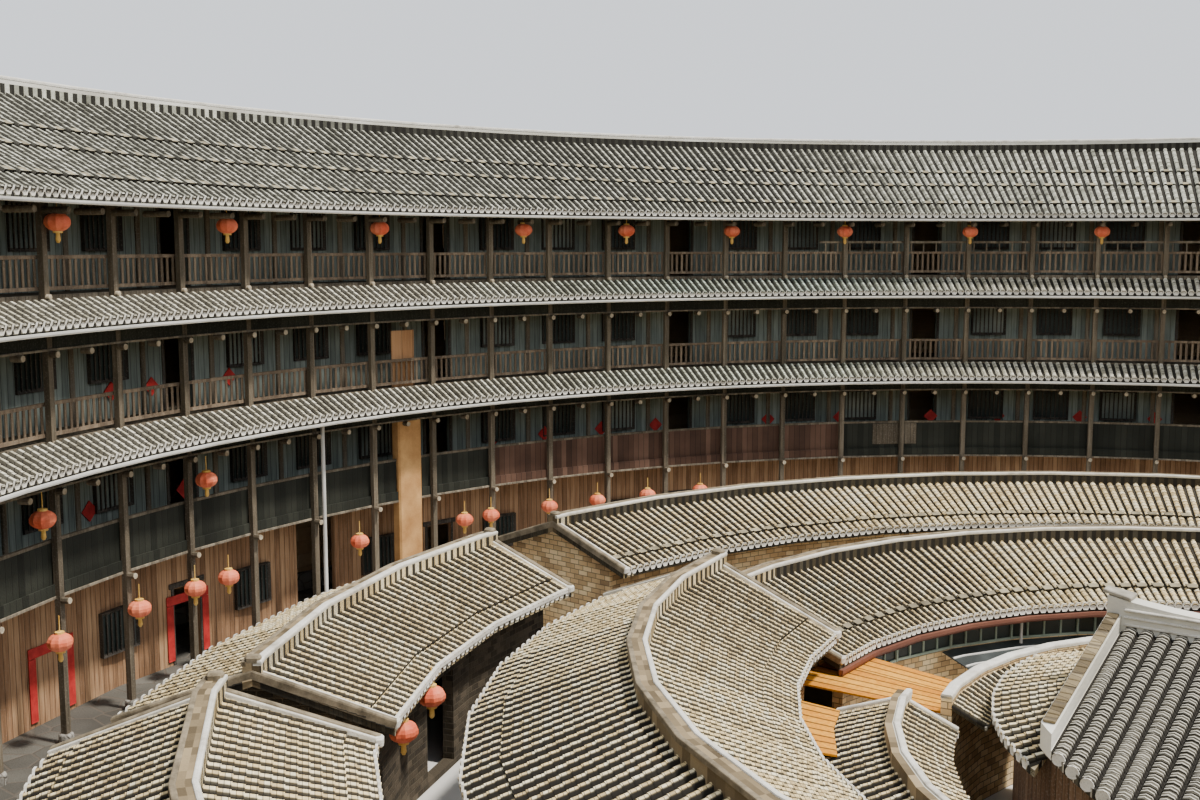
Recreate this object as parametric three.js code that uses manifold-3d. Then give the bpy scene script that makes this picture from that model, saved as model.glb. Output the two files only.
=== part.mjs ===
// Four-storey earthen roundhouse (tulou) with three lower rings of houses and a hall in its court.
// Every size below is the real building's, in millimetres. MODEL_SCALE makes it a 1:2 model.
// The origin is the centre of the outer ring, on the ground. The main gate faces -Y.
import * as THREE from "three";
import { mergeVertices } from "three/addons/utils/BufferGeometryUtils.js";
import Module from "manifold-3d";

const MODEL_SCALE = 0.5;
const GAP = 0.6; // left between pieces that touch
const OVER = 10; // by which a cutter runs past what it cuts
const CUT_DEPTH = 5000; // of a cutter through a wall, along the radius
const BEYOND = 60000; // a length that clears the whole building
const HIGHEST = 20000;
const FRONT = -90; // bearing of the main gate, in degrees counter-clockwise from +X
const LEFT = 180;
const RIGHT = 0;

// Outer ring: 72 bays, a thick earth wall outside and timber galleries inside
const BAYS = 72;
const BAY = 360 / BAYS;
const WALL_INNER_R = 29800;
const WALL_OUTER_R = 31300;
const WALL_TOP_OUTER_R = 30900;
const FOOTING_HEIGHT = 700;
const FOOTING_LEDGE = 150;
const THRESHOLD = 150;
const OCTANTS = [
  "front",
  "front_right",
  "right",
  "back_right",
  "back",
  "back_left",
  "left",
  "front_left",
];
const OCTANT = 360 / OCTANTS.length;
const STRETCHES = [
  { name: "back", from: 0, to: 180 },
  { name: "left", from: 180, to: 270 },
  { name: "right", from: 270, to: 360 },
]; // of the outer ring, from gate to gate
const POST_R = 25600;
const POST_WIDTH = 150;
const PLATE_HEIGHT = 250;
const POST_INSET = 4; // of a post's faces behind those of the plate
const POST_TENON = 40; // from a post's head up to the top of the plate
const GROUND_FLOOR_R = 24900;
const DECK_THICKNESS = 250;
const DECK_TOPS = [THRESHOLD, 3700, 6800, 9900];
const ROOM_FRONT_R = 27000;
const ROOM_FRONT_THICKNESS = 120;
const ROOM_FRONT_FACETS = 36;
const ROOM_DOOR = { width: 900, height: 2000, every: 20 };
const RAIL_SET_BACK = 30;
const RAIL_DEPTH = 60;
const RAIL_THICKNESS = 80;
const RAIL_TOP = 830;
const RAIL_FOOT = 90;
const NEWEL_EVERY = 6; // bays
const PARAPET_HEIGHT = 950;
const PARAPET_THICKNESS = 50;

// Window holes of the earth wall and the three gates
const WINDOW = { width: 560, height: 800, sill: 950, every: 15, storeys: [2, 3] };
const GATES = [
  { bearing: FRONT, width: 1900, spring: 2150 },
  { bearing: LEFT, width: 1400, spring: 1900 },
  { bearing: RIGHT, width: 1400, spring: 1900 },
];
const ARCH_SIDES = 16;

// Main roof, its ridge, and the skirt roofs below the two upper galleries
const MAIN_ROOF = {
  ridgeR: 29070,
  innerEaveR: 24700,
  outerEaveR: 33440,
  eaveZ: 11980,
  ridgeZ: 14500,
  thickness: 150,
  seat: 360,
};
const MAIN_RIDGE_HEIGHT = 330;
const RIDGE_INSET = 20;
const SKIRTS = { eaveR: 24700, rise: 440, thickness: 100, eaveZ: { 3: 6340, 4: 9330 } };

// Inner rings. Bearings are those of the roof verges.
const RING_FACETS = 36;
const RING_WALL = 250;
const RING_ROOF = 140;
const VERGE = 300;
const RING_2 = { ridgeR: 19000, innerR: 16600, outerR: 21400, wallInnerR: 17250, wallOuterR: 20750 };
const RING_2_PARTS = [
  { name: "ring2_back", from: 3.5, to: 176.5, eaveZ: 2850, ridgeZ: 3700, doors: [90] },
  { name: "ring2_left", from: 183.5, to: 216, eaveZ: 2850, ridgeZ: 3700, doors: [200] },
  { name: "ring2_front", from: 223, to: 317, eaveZ: 3400, ridgeZ: 4250, doors: [270] },
  { name: "ring2_right", from: 324, to: 356.5, eaveZ: 2850, ridgeZ: 3700, doors: [340] },
];
const RING_3 = { ridgeR: 12500, innerR: 9750, outerR: 15350, wallInnerR: 10400, wallOuterR: 14700 };
const RING_3_PARTS = [
  { name: "ring3_front", from: 184.7, to: 355.3, eaveZ: 2950, ridgeZ: 4080, doors: [270] },
  { name: "ring3_back", from: -4.3, to: 184.3, eaveZ: 2350, ridgeZ: 3400, doors: [0.5, 90, 179.5] },
];
const RING_RIDGE = { width: 320, height: 270 };
const RING_DOOR = { width: 1300, height: 2100 };
const SILL = 120; // of the low houses' doorways

// Hall in the court: a gabled roof over a round wall, and a lower curved roof on each flank
const HALL = {
  ridgeY: -900,
  ridgeZ: 4220,
  slope: 0.3,
  roof: 150,
  verge: 4350,
  eaveR: 6200,
  backEave: 3200,
  halfWidth: 3900,
  backWall: 2650,
  wall: 200,
};
const HALL_RIDGE = { width: 350, height: 370, tip: 180, tipLength: 2200, tipSteps: 4 };
const HALL_RIB = { width: 250, height: 270 };
const HALL_DOOR = { width: 2400, height: 2000 };
const WING = {
  wallR: 5950,
  eaveR: 6350,
  eaveZ: 2700,
  slope: 0.31,
  thickness: 120,
  innerR: 3950,
  backWall: 900,
  backVerge: 1050,
};
const COURT_WALL = { from: -11, to: 191, innerR: 6850, outerR: 7050, top: 2700 };
const COURT_BACK_ROOF = { eaveR: 6220, eaveZ: 2250, topZ: 2560, thickness: 100 };
const COURT_FRONT = {
  from: 191.6,
  to: 348.4,
  ridgeR: 7700,
  innerR: 6700,
  outerR: 8900,
  eaveZ: 2080,
  ridgeZ: 2520,
  wallR: 8450,
  gateHeight: 1900,
};
const COURT_RIDGE = { width: 260, height: 220 };
const COURT_Y = -900; // the court ring's middle

// Board covers over the narrow court between ring 3 and the court ring
const COVERS = [
  { name: "court_cover_back", from: 175, to: 189, innerR: 7250, innerZ: 1980, outerZ: 2100 },
  { name: "court_cover_front", from: 199, to: 213, innerR: 9100, innerZ: 2260, outerZ: 2450 },
];
const COVER_THICKNESS = 40;

const wasm = await Module();
wasm.setup();
const roundhouse = new THREE.Group();
roundhouse.scale.setScalar(MODEL_SCALE);

const radians = (degrees) => THREE.MathUtils.degToRad(degrees);

const material = (color, roughness) =>
  new THREE.MeshStandardMaterial({ color, roughness, metalness: 0 });
const finishes = {
  earth: () => material(0xb98d5c, 0.95),
  stone: () => material(0x8a867c, 0.9),
  timber: () => material(0x3d3028, 0.8),
  planks: () => material(0x5a3a26, 0.8),
  tiles: () => material(0x8b8577, 0.85),
  tanTiles: () => material(0xa79a80, 0.85),
  mortar: () => material(0xd8d3c6, 0.85),
  brick: () => material(0x8f7a5e, 0.9),
  covers: () => material(0xd98a33, 0.7),
};

// A closed geometry as a solid that can be joined and cut.
function solidOf(geometry) {
  const bare = new THREE.BufferGeometry();
  const source = geometry.index ? geometry.toNonIndexed() : geometry;
  bare.setAttribute("position", source.getAttribute("position").clone());
  const merged = mergeVertices(bare, 0.01);
  return new wasm.Manifold(
    new wasm.Mesh({
      numProp: 3,
      vertProperties: merged.attributes.position.array,
      triVerts: new Uint32Array(merged.index.array),
    }),
  );
}

// A solid back as a named mesh in the group.
function addPiece(name, solid, finish) {
  const mesh = solid.getMesh();
  const geometry = new THREE.BufferGeometry();
  geometry.setAttribute("position", new THREE.BufferAttribute(mesh.vertProperties, 3));
  geometry.setIndex(new THREE.BufferAttribute(mesh.triVerts, 1));
  geometry.computeVertexNormals();
  const piece = new THREE.Mesh(geometry, finish());
  piece.name = name;
  roundhouse.add(piece);
}

// A full ring with a closed section of [radius, height] points, listed counter-clockwise.
// Its corners lie half a facet off the bearing of +X, as the posts of the bays do.
function ring(section, facets = BAYS) {
  const points = section.map(([r, z]) => new THREE.Vector2(r, z));
  points.push(points[0].clone());
  const geometry = new THREE.LatheGeometry(points, facets, Math.PI / facets);
  geometry.rotateX(Math.PI / 2);
  return solidOf(geometry);
}

const rectangle = (innerR, outerR, bottom, top) => [
  [innerR, bottom],
  [outerR, bottom],
  [outerR, top],
  [innerR, top],
];

// The outline of a flat shape raised from one height to another.
function prism(outline, bottom, top) {
  const shape = new THREE.Shape(outline.map(([x, y]) => new THREE.Vector2(x, y)));
  const geometry = new THREE.ExtrudeGeometry(shape, { depth: top - bottom, bevelEnabled: false });
  geometry.translate(0, 0, bottom);
  return solidOf(geometry);
}

const polar = (radius, bearing) => [
  radius * Math.cos(radians(bearing)),
  radius * Math.sin(radians(bearing)),
];

// Everything between two bearings, as a wedge out to a radius that clears the building.
function wedge(from, to) {
  const steps = Math.ceil((to - from) / 60);
  const outline = [[0, 0]];
  for (let i = 0; i <= steps; i++)
    outline.push(polar(BEYOND, from + ((to - from) * i) / steps));
  return prism(outline, -OVER, HIGHEST);
}

// A ring cut down to the stretch between two bearings.
function arc(section, from, to, facets) {
  const whole = ring(section, facets);
  if (to - from <= 180) return whole.intersect(wedge(from, to));
  return whole.subtract(wedge(to, from + 360));
}

// A box that stands on a height and is centred on a radius and a bearing.
function radialBox(radius, bearing, depth, width, bottom, height) {
  const geometry = new THREE.BoxGeometry(depth, width, height);
  geometry.translate(radius, 0, bottom + height / 2);
  geometry.rotateZ(radians(bearing));
  return solidOf(geometry);
}

// A cutter for a doorway with a round arch.
function archway(radius, bearing, depth, width, spring, sill) {
  const arch = new THREE.Shape();
  arch.moveTo(-width / 2, sill);
  arch.lineTo(width / 2, sill);
  arch.lineTo(width / 2, spring);
  arch.absarc(0, spring, width / 2, 0, Math.PI);
  arch.lineTo(-width / 2, sill);
  const geometry = new THREE.ExtrudeGeometry(arch, {
    depth,
    bevelEnabled: false,
    curveSegments: ARCH_SIDES / 2,
  });
  geometry.rotateX(Math.PI / 2);
  geometry.rotateZ(Math.PI / 2);
  geometry.translate(radius - depth / 2, 0, 0);
  geometry.rotateZ(radians(bearing));
  return solidOf(geometry);
}

// Height of the underside of the main roof at a radius.
const MAIN_SLOPE = (MAIN_ROOF.ridgeZ - MAIN_ROOF.eaveZ) / (MAIN_ROOF.ridgeR - MAIN_ROOF.innerEaveR);
const mainUnderside = (r) =>
  MAIN_ROOF.ridgeZ - Math.abs(r - MAIN_ROOF.ridgeR) * MAIN_SLOPE - MAIN_ROOF.thickness;

// Stone footing of the earth wall, in three stretches between the gates
function stoneFooting() {
  const section = rectangle(
    WALL_INNER_R - FOOTING_LEDGE,
    WALL_OUTER_R + FOOTING_LEDGE,
    0,
    FOOTING_HEIGHT,
  );
  for (const stretch of STRETCHES) {
    let footing = arc(section, stretch.from, stretch.to);
    for (const gate of GATES)
      footing = footing.subtract(
        radialBox(WALL_OUTER_R, gate.bearing, CUT_DEPTH, gate.width, -OVER, FOOTING_HEIGHT + 2 * OVER),
      );
    addPiece("stone_footing_" + stretch.name, footing, finishes.stone);
  }
}

// Earth wall in segments of equal length, thinner at the top, with its windows and gates
function earthWall() {
  const bottom = FOOTING_HEIGHT + GAP;
  const top = mainUnderside(WALL_TOP_OUTER_R) - GAP;
  const section = [
    [WALL_INNER_R, bottom],
    [WALL_OUTER_R, bottom],
    [WALL_TOP_OUTER_R, top],
    [WALL_INNER_R, top],
  ];
  const joint = THREE.MathUtils.radToDeg(GAP / WALL_INNER_R) / 2;
  OCTANTS.forEach((place, i) => {
    const middle = FRONT + i * OCTANT;
    const from = middle - OCTANT / 2;
    const to = middle + OCTANT / 2;
    let wall = arc(section, from + joint, to - joint);
    const firstWindow = FRONT + Math.ceil((from - FRONT) / WINDOW.every) * WINDOW.every;
    for (let bearing = firstWindow; bearing < to; bearing += WINDOW.every)
      for (const storey of WINDOW.storeys)
        wall = wall.subtract(
          radialBox(
            WALL_OUTER_R,
            bearing,
            CUT_DEPTH,
            WINDOW.width,
            DECK_TOPS[storey] + WINDOW.sill,
            WINDOW.height,
          ),
        );
    for (const gate of GATES)
      if (Math.abs(((gate.bearing - middle + 540) % 360) - 180) < OCTANT / 2)
        wall = wall.subtract(
          archway(WALL_OUTER_R, gate.bearing, CUT_DEPTH, gate.width, gate.spring, 0),
        );
    addPiece("earth_wall_" + place, wall, finishes.earth);
  });
}

// Ground floor ring with a threshold out through each gate, and the three decks, which end just
// behind the gallery posts
const HALF_BAY_TANGENT = Math.tan(radians(BAY / 2));
const DECK_EDGE_R = POST_R + POST_WIDTH / 2 + (POST_WIDTH / 2) * HALF_BAY_TANGENT + GAP;
function floors() {
  const footingInner = (WALL_INNER_R - FOOTING_LEDGE) * Math.cos(radians(BAY / 2));
  const footingOuter = WALL_OUTER_R + FOOTING_LEDGE;
  let ground = ring(rectangle(GROUND_FLOOR_R, footingInner - GAP, 0, THRESHOLD));
  for (const gate of GATES)
    ground = ground.add(
      radialBox(
        (ROOM_FRONT_R + footingOuter) / 2,
        gate.bearing,
        footingOuter - ROOM_FRONT_R,
        gate.width - 2 * GAP,
        0,
        THRESHOLD,
      ),
    );
  addPiece("ground_floor", ground, finishes.stone);
  for (const storey of [2, 3, 4]) {
    const top = DECK_TOPS[storey - 1];
    addPiece(
      "deck_" + storey,
      ring(rectangle(DECK_EDGE_R, WALL_INNER_R - GAP, top - DECK_THICKNESS, top)),
      finishes.timber,
    );
  }
}

// Gallery posts through all four storeys, in eight groups that each carry a length of the eaves
// plate. A plate ends beside the first post of the next group.
function galleryPosts() {
  const innerR = POST_R - POST_WIDTH / 2;
  const plateTop = mainUnderside(innerR) - GAP;
  const plate = rectangle(innerR, POST_R + POST_WIDTH / 2, plateTop - PLATE_HEIGHT, plateTop);
  const foot = THRESHOLD + GAP;
  const besidePost = THREE.MathUtils.radToDeg((POST_WIDTH / 2 + GAP) / innerR);
  const joint = THREE.MathUtils.radToDeg(GAP / innerR);
  OCTANTS.forEach((place, i) => {
    const first = FRONT + (i - 0.5) * OCTANT;
    const from = first - besidePost;
    let frame = arc(plate, from, from + OCTANT - joint);
    for (let bearing = first; bearing < first + OCTANT; bearing += BAY)
      frame = frame.add(
        radialBox(
          POST_R,
          bearing,
          POST_WIDTH - 2 * POST_INSET,
          POST_WIDTH,
          foot,
          plateTop - POST_TENON - foot,
        ),
      );
    addPiece("gallery_posts_" + place, frame, finishes.timber);
  });
}

// Plank fronts of the rooms on each storey, with a doorway in every fourth bay. The gates' passages
// part the lowest one in three.
function roomFronts() {
  for (const storey of [1, 2, 3, 4]) {
    const bottom = DECK_TOPS[storey - 1] + GAP;
    const facetInner = ROOM_FRONT_R * Math.cos(Math.PI / ROOM_FRONT_FACETS);
    const top =
      storey < 4 ? DECK_TOPS[storey] - DECK_THICKNESS - GAP : mainUnderside(facetInner) - GAP;
    let front = ring(
      rectangle(ROOM_FRONT_R, ROOM_FRONT_R + ROOM_FRONT_THICKNESS, bottom, top),
      ROOM_FRONT_FACETS,
    );
    for (let bearing = FRONT; bearing < FRONT + 360; bearing += ROOM_DOOR.every)
      front = front.subtract(
        radialBox(
          ROOM_FRONT_R,
          bearing,
          CUT_DEPTH,
          ROOM_DOOR.width,
          bottom - OVER,
          ROOM_DOOR.height,
        ),
      );
    if (storey > 1) {
      addPiece("room_front_" + storey, front, finishes.planks);
      continue;
    }
    for (const gate of GATES)
      front = front.subtract(
        radialBox(ROOM_FRONT_R, gate.bearing, CUT_DEPTH, gate.width, bottom - OVER, top),
      );
    for (const stretch of STRETCHES)
      addPiece(
        "room_front_1_" + stretch.name,
        front.intersect(wedge(stretch.from, stretch.to)),
        finishes.planks,
      );
  }
}

// Plank parapet of the second gallery and the open railings of the two above
function galleryGuards() {
  const innerR = DECK_EDGE_R + RAIL_SET_BACK;
  const parapetFoot = DECK_TOPS[1] + GAP;
  addPiece(
    "parapet_2",
    ring(rectangle(innerR, innerR + PARAPET_THICKNESS, parapetFoot, parapetFoot + PARAPET_HEIGHT)),
    finishes.planks,
  );
  const outerR = innerR + RAIL_DEPTH;
  for (const storey of [3, 4]) {
    const deck = DECK_TOPS[storey - 1];
    const top = deck + RAIL_TOP;
    let railing = ring(rectangle(innerR, outerR, top - RAIL_THICKNESS, top));
    railing = railing.add(
      ring(rectangle(innerR, outerR, deck + RAIL_FOOT, deck + RAIL_FOOT + RAIL_THICKNESS)),
    );
    for (let i = 0; i < BAYS; i += NEWEL_EVERY)
      railing = railing.add(
        radialBox(
          innerR + RAIL_DEPTH / 2,
          BAY * (i + 0.5),
          RAIL_DEPTH - 12,
          RAIL_DEPTH,
          deck + GAP,
          RAIL_TOP - RAIL_THICKNESS / 2,
        ),
      );
    addPiece("railing_" + storey, railing, finishes.timber);
  }
}

// Tiled main roof over the whole outer ring, in an inner and an outer slope that meet under the
// mortared ridge, which sits on a flat left for it
function mainRoof() {
  const { ridgeR, innerEaveR, outerEaveR, eaveZ, ridgeZ, thickness, seat } = MAIN_ROOF;
  const seatZ = ridgeZ - (seat / 2) * MAIN_SLOPE;
  addPiece(
    "main_roof_inner",
    ring([
      [innerEaveR, eaveZ - thickness],
      [ridgeR - GAP / 2, ridgeZ - thickness],
      [ridgeR - GAP / 2, seatZ],
      [ridgeR - seat / 2, seatZ],
      [innerEaveR, eaveZ],
    ]),
    finishes.tiles,
  );
  addPiece(
    "main_roof_outer",
    ring([
      [ridgeR + GAP / 2, ridgeZ - thickness],
      [outerEaveR, eaveZ - thickness],
      [outerEaveR, eaveZ],
      [ridgeR + seat / 2, seatZ],
      [ridgeR + GAP / 2, seatZ],
    ]),
    finishes.tiles,
  );
  addPiece(
    "main_ridge",
    ring(
      rectangle(
        ridgeR - seat / 2 + RIDGE_INSET,
        ridgeR + seat / 2 - RIDGE_INSET,
        seatZ + GAP,
        ridgeZ + MAIN_RIDGE_HEIGHT,
      ),
    ),
    finishes.mortar,
  );
}

// Narrow tiled skirt roofs that hang on the posts below the third and fourth decks
function skirtRoofs() {
  const topR = POST_R - POST_WIDTH / 2 + POST_INSET - GAP;
  const { eaveR, rise, thickness, eaveZ } = SKIRTS;
  for (const storey of [3, 4]) {
    const low = eaveZ[storey];
    addPiece(
      "skirt_roof_" + storey,
      ring([
        [eaveR, low - thickness],
        [topR, low + rise - thickness],
        [topR, low + rise],
        [eaveR, low],
      ]),
      finishes.tiles,
    );
  }
}

// Section of a gabled ring roof that carries its own ridge.
function gabledSection(radii, eaveZ, ridgeZ, thickness, ridge) {
  const { ridgeR, innerR, outerR } = radii;
  const half = ridge.width / 2;
  const innerSlope = (ridgeZ - eaveZ) / (ridgeR - innerR);
  const outerSlope = (ridgeZ - eaveZ) / (outerR - ridgeR);
  return [
    [innerR, eaveZ - thickness],
    [ridgeR, ridgeZ - thickness],
    [outerR, eaveZ - thickness],
    [outerR, eaveZ],
    [ridgeR + half, ridgeZ - half * outerSlope],
    [ridgeR + half, ridgeZ + ridge.height],
    [ridgeR - half, ridgeZ + ridge.height],
    [ridgeR - half, ridgeZ - half * innerSlope],
    [innerR, eaveZ],
  ];
}

// Space under a gabled ring roof, which trims the walls below it.
function underRoof(radii, eaveZ, ridgeZ, thickness, facets) {
  const { ridgeR, innerR, outerR } = radii;
  const drop = thickness + GAP;
  return ring(
    [
      [innerR, -OVER],
      [outerR, -OVER],
      [outerR, eaveZ - drop],
      [ridgeR, ridgeZ - drop],
      [innerR, eaveZ - drop],
    ],
    facets,
  );
}

// Walls of one stretch of a ring: an inner, an outer and two gable walls round an empty room.
function ringWalls(radii, part) {
  const { wallInnerR, wallOuterR, ridgeR } = radii;
  const inset = THREE.MathUtils.radToDeg(VERGE / ridgeR);
  const from = part.from + inset;
  const to = part.to - inset;
  const thick = THREE.MathUtils.radToDeg(RING_WALL / ridgeR);
  const outside = arc(rectangle(wallInnerR, wallOuterR, 0, part.ridgeZ), from, to, RING_FACETS);
  const room = arc(
    rectangle(
      wallInnerR + RING_WALL,
      wallOuterR - RING_WALL,
      -OVER,
      part.ridgeZ + OVER,
    ),
    from + thick,
    to - thick,
    RING_FACETS,
  );
  let walls = outside
    .subtract(room)
    .intersect(underRoof(radii, part.eaveZ, part.ridgeZ, RING_ROOF, RING_FACETS));
  for (const bearing of part.doors)
    walls = walls.subtract(
      radialBox(ridgeR, bearing, CUT_DEPTH, RING_DOOR.width, SILL, RING_DOOR.height - SILL),
    );
  return walls;
}

// The two rings of lower houses
function innerRings() {
  for (const [radii, parts] of [
    [RING_2, RING_2_PARTS],
    [RING_3, RING_3_PARTS],
  ])
    for (const part of parts) {
      addPiece(part.name + "_walls", ringWalls(radii, part), finishes.brick);
      const section = gabledSection(radii, part.eaveZ, part.ridgeZ, RING_ROOF, RING_RIDGE);
      addPiece(
        part.name + "_roof",
        arc(section, part.from, part.to, RING_FACETS),
        finishes.tanTiles,
      );
    }
}

// A box given by its low and high corners.
function box(low, high) {
  const size = high.map((value, i) => value - low[i]);
  const geometry = new THREE.BoxGeometry(...size);
  geometry.translate(low[0] + size[0] / 2, low[1] + size[1] / 2, low[2] + size[2] / 2);
  return solidOf(geometry);
}

// Two of a box, alike on the left and on the right, from its low and high corners on the right.
function pairOfBoxes([x1, y1, z1], [x2, y2, z2]) {
  return box([x1, y1, z1], [x2, y2, z2]).add(box([-x2, y1, z1], [-x1, y2, z2]));
}

// A flat shape in Y and Z, drawn along X from one place to another.
function alongX(outline, from, to) {
  const shape = new THREE.Shape(outline.map(([y, z]) => new THREE.Vector2(y, z)));
  const geometry = new THREE.ExtrudeGeometry(shape, { depth: to - from, bevelEnabled: false });
  geometry.rotateX(Math.PI / 2);
  geometry.rotateZ(Math.PI / 2);
  geometry.translate(from, 0, 0);
  return solidOf(geometry);
}

// Height of the hall's roof at a place in Y.
const hallRoofZ = (y) => HALL.ridgeZ - Math.abs(y - HALL.ridgeY) * HALL.slope;

// Space below the hall's two slopes, lowered by a drop, out to a half length.
function hallGable(drop, low, halfLength, frontY, backY) {
  return alongX(
    [
      [frontY, low],
      [backY, low],
      [backY, hallRoofZ(backY) - drop],
      [HALL.ridgeY, HALL.ridgeZ - drop],
      [frontY, hallRoofZ(frontY) - drop],
    ],
    -halfLength,
    halfLength,
  );
}

// Space below the wings' curved roofs, beside the hall's.
function underWings() {
  const { eaveR, eaveZ, slope, thickness, innerR } = WING;
  const drop = thickness + GAP;
  const cone = ring(
    [
      [innerR, -OVER],
      [eaveR, -OVER],
      [eaveR, eaveZ - drop],
      [innerR, eaveZ + (eaveR - innerR) * slope - drop],
    ],
    RING_FACETS,
  );
  return cone.intersect(pairOfBoxes([HALL.verge, -BEYOND, -OVER], [BEYOND, BEYOND, HIGHEST]));
}

// Hall walls: a round wall in front and on the flanks, two side walls and a back wall. They rise to
// the hall's roof, and beside it to the roofs of the wings.
function hallWalls() {
  const { halfWidth, backWall, wall, verge, roof, eaveR, ridgeZ } = HALL;
  const middleR = WING.wallR - wall / 2;
  const sideX = halfWidth - wall / 2;
  const cornerY = Math.sqrt(middleR ** 2 - sideX ** 2);
  const endX = Math.sqrt(middleR ** 2 - WING.backWall ** 2);
  const round = ring(rectangle(WING.wallR - wall, WING.wallR, 0, ridgeZ), RING_FACETS).intersect(
    box([-BEYOND, -BEYOND, -OVER], [BEYOND, WING.backWall, HIGHEST]),
  );
  const tall = round
    .add(pairOfBoxes([halfWidth - wall, -cornerY, 0], [halfWidth, backWall, ridgeZ]))
    .add(box([-sideX, backWall - wall, 0], [sideX, backWall, ridgeZ]))
    .add(pairOfBoxes([sideX, WING.backWall - wall, 0], [endX, WING.backWall, ridgeZ]));
  const door = radialBox(
    WING.wallR,
    FRONT,
    4 * wall,
    HALL_DOOR.width,
    SILL,
    HALL_DOOR.height - SILL,
  );
  const underHall = hallGable(roof + GAP, -OVER, verge, -eaveR, backWall + OVER);
  addPiece(
    "hall_walls",
    tall.intersect(underHall).add(tall.intersect(underWings())).subtract(door),
    finishes.planks,
  );
}

// The hall's ridge, whose top curves up to its two tips
function hallRidge() {
  const { width, height, tip, tipLength, tipSteps } = HALL_RIDGE;
  const { ridgeY, verge, ridgeZ } = HALL;
  const base = hallRoofZ(ridgeY + width / 2) - OVER;
  const side = [];
  for (let i = tipSteps; i >= 0; i--) {
    const share = i / tipSteps;
    side.push([verge - tipLength * (1 - share), ridgeZ + height + tip * share ** 2]);
  }
  const mirrored = side.map(([x, z]) => [-x, z]).reverse();
  const outline = [[-verge, base], [verge, base], ...side, ...mirrored];
  const shape = new THREE.Shape(outline.map(([x, z]) => new THREE.Vector2(x, z)));
  const geometry = new THREE.ExtrudeGeometry(shape, { depth: width, bevelEnabled: false });
  geometry.rotateX(Math.PI / 2);
  geometry.translate(0, ridgeY + width / 2, 0);
  return solidOf(geometry);
}

// Hall roof, open underneath, with its ridge and a rib along each verge. Its front eave is round.
function hallRoof() {
  const { verge, eaveR, backEave, roof } = HALL;
  const disc = ring([
    [0, -OVER],
    [eaveR, -OVER],
    [eaveR, HIGHEST],
    [0, HIGHEST],
  ]);
  const above = hallGable(0, 0, verge, -eaveR, backEave);
  const below = hallGable(roof, -OVER, verge + OVER, -eaveR - OVER, backEave + OVER);
  const ribs = hallGable(-HALL_RIB.height, 0, verge, -eaveR, backEave)
    .subtract(below)
    .intersect(
      pairOfBoxes([verge - HALL_RIB.width, -BEYOND, 0], [verge, BEYOND, HIGHEST]),
    );
  const roofSolid = above.subtract(below).add(ribs).intersect(disc).add(hallRidge());
  addPiece("hall_roof", roofSolid, finishes.tiles);
}

// Curved wing roofs on both flanks of the hall
function wingRoofs() {
  const { eaveR, eaveZ, slope, thickness, innerR, backVerge } = WING;
  const rise = (eaveR - innerR) * slope;
  const cone = ring(
    [
      [innerR, eaveZ + rise - thickness],
      [eaveR, eaveZ - thickness],
      [eaveR, eaveZ],
      [innerR, eaveZ + rise],
    ],
    RING_FACETS,
  );
  for (const [name, side] of [
    ["left", -1],
    ["right", 1],
  ]) {
    const xs = [side * (HALL.verge + GAP), side * BEYOND].sort((a, b) => a - b);
    const flank = box([xs[0], -BEYOND, 0], [xs[1], backVerge, HIGHEST]);
    addPiece("wing_roof_" + name, cone.intersect(flank), finishes.tanTiles);
  }
}

// A solid of the court ring, moved to that ring's own middle.
const aboutCourt = (solid) => solid.translate([0, COURT_Y, 0]);

// Court ring round the hall: a lean-to against a wall behind, a gabled passage in front
function courtRing() {
  const { from, to, innerR, outerR, top } = COURT_WALL;
  addPiece(
    "court_wall",
    aboutCourt(arc(rectangle(innerR, outerR, 0, top), from, to, RING_FACETS)),
    finishes.brick,
  );
  const { eaveR, eaveZ, topZ, thickness } = COURT_BACK_ROOF;
  const seatR = innerR - GAP;
  addPiece(
    "court_back_roof",
    aboutCourt(
      arc(
        [
          [eaveR, eaveZ - thickness],
          [seatR, topZ - thickness],
          [seatR, topZ],
          [eaveR, eaveZ],
        ],
        from,
        to,
        RING_FACETS,
      ),
    ),
    finishes.tanTiles,
  );
  const front = COURT_FRONT;
  const section = gabledSection(front, front.eaveZ, front.ridgeZ, thickness, COURT_RIDGE);
  addPiece(
    "court_front_roof",
    aboutCourt(arc(section, front.from, front.to, RING_FACETS)),
    finishes.tanTiles,
  );
  const gate = radialBox(
    front.wallR,
    FRONT,
    CUT_DEPTH,
    RING_DOOR.width,
    SILL,
    front.gateHeight - SILL,
  );
  const wall = arc(
    rectangle(front.wallR - RING_WALL, front.wallR, 0, front.ridgeZ),
    front.from,
    front.to,
    RING_FACETS,
  )
    .intersect(underRoof(front, front.eaveZ, front.ridgeZ, thickness, RING_FACETS))
    .subtract(gate);
  addPiece("court_front_wall", aboutCourt(wall), finishes.brick);
}

// Board covers that lean on the inner walls of ring 3, over the narrow court
function courtCovers() {
  const outerR = RING_3.wallInnerR - GAP;
  for (const cover of COVERS)
    addPiece(
      cover.name,
      arc(
        [
          [cover.innerR, cover.innerZ - COVER_THICKNESS],
          [outerR, cover.outerZ - COVER_THICKNESS],
          [outerR, cover.outerZ],
          [cover.innerR, cover.innerZ],
        ],
        cover.from,
        cover.to,
        RING_FACETS,
      ),
      finishes.covers,
    );
}

stoneFooting();
earthWall();
floors();
galleryPosts();
roomFronts();
galleryGuards();
mainRoof();
skirtRoofs();
innerRings();
hallWalls();
hallRoof();
wingRoofs();
courtRing();
courtCovers();

export default roundhouse;
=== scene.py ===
# %% [markdown]
# # The looks of a round earthen house
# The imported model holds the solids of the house: walls, decks, posts and plain roofs. This lesson
# dresses them with tiles, railings, windows, ridges and lanterns, and gives each solid a finish.
# The model is loaded first, because every piece below takes its place from it.

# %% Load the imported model
import math

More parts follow.
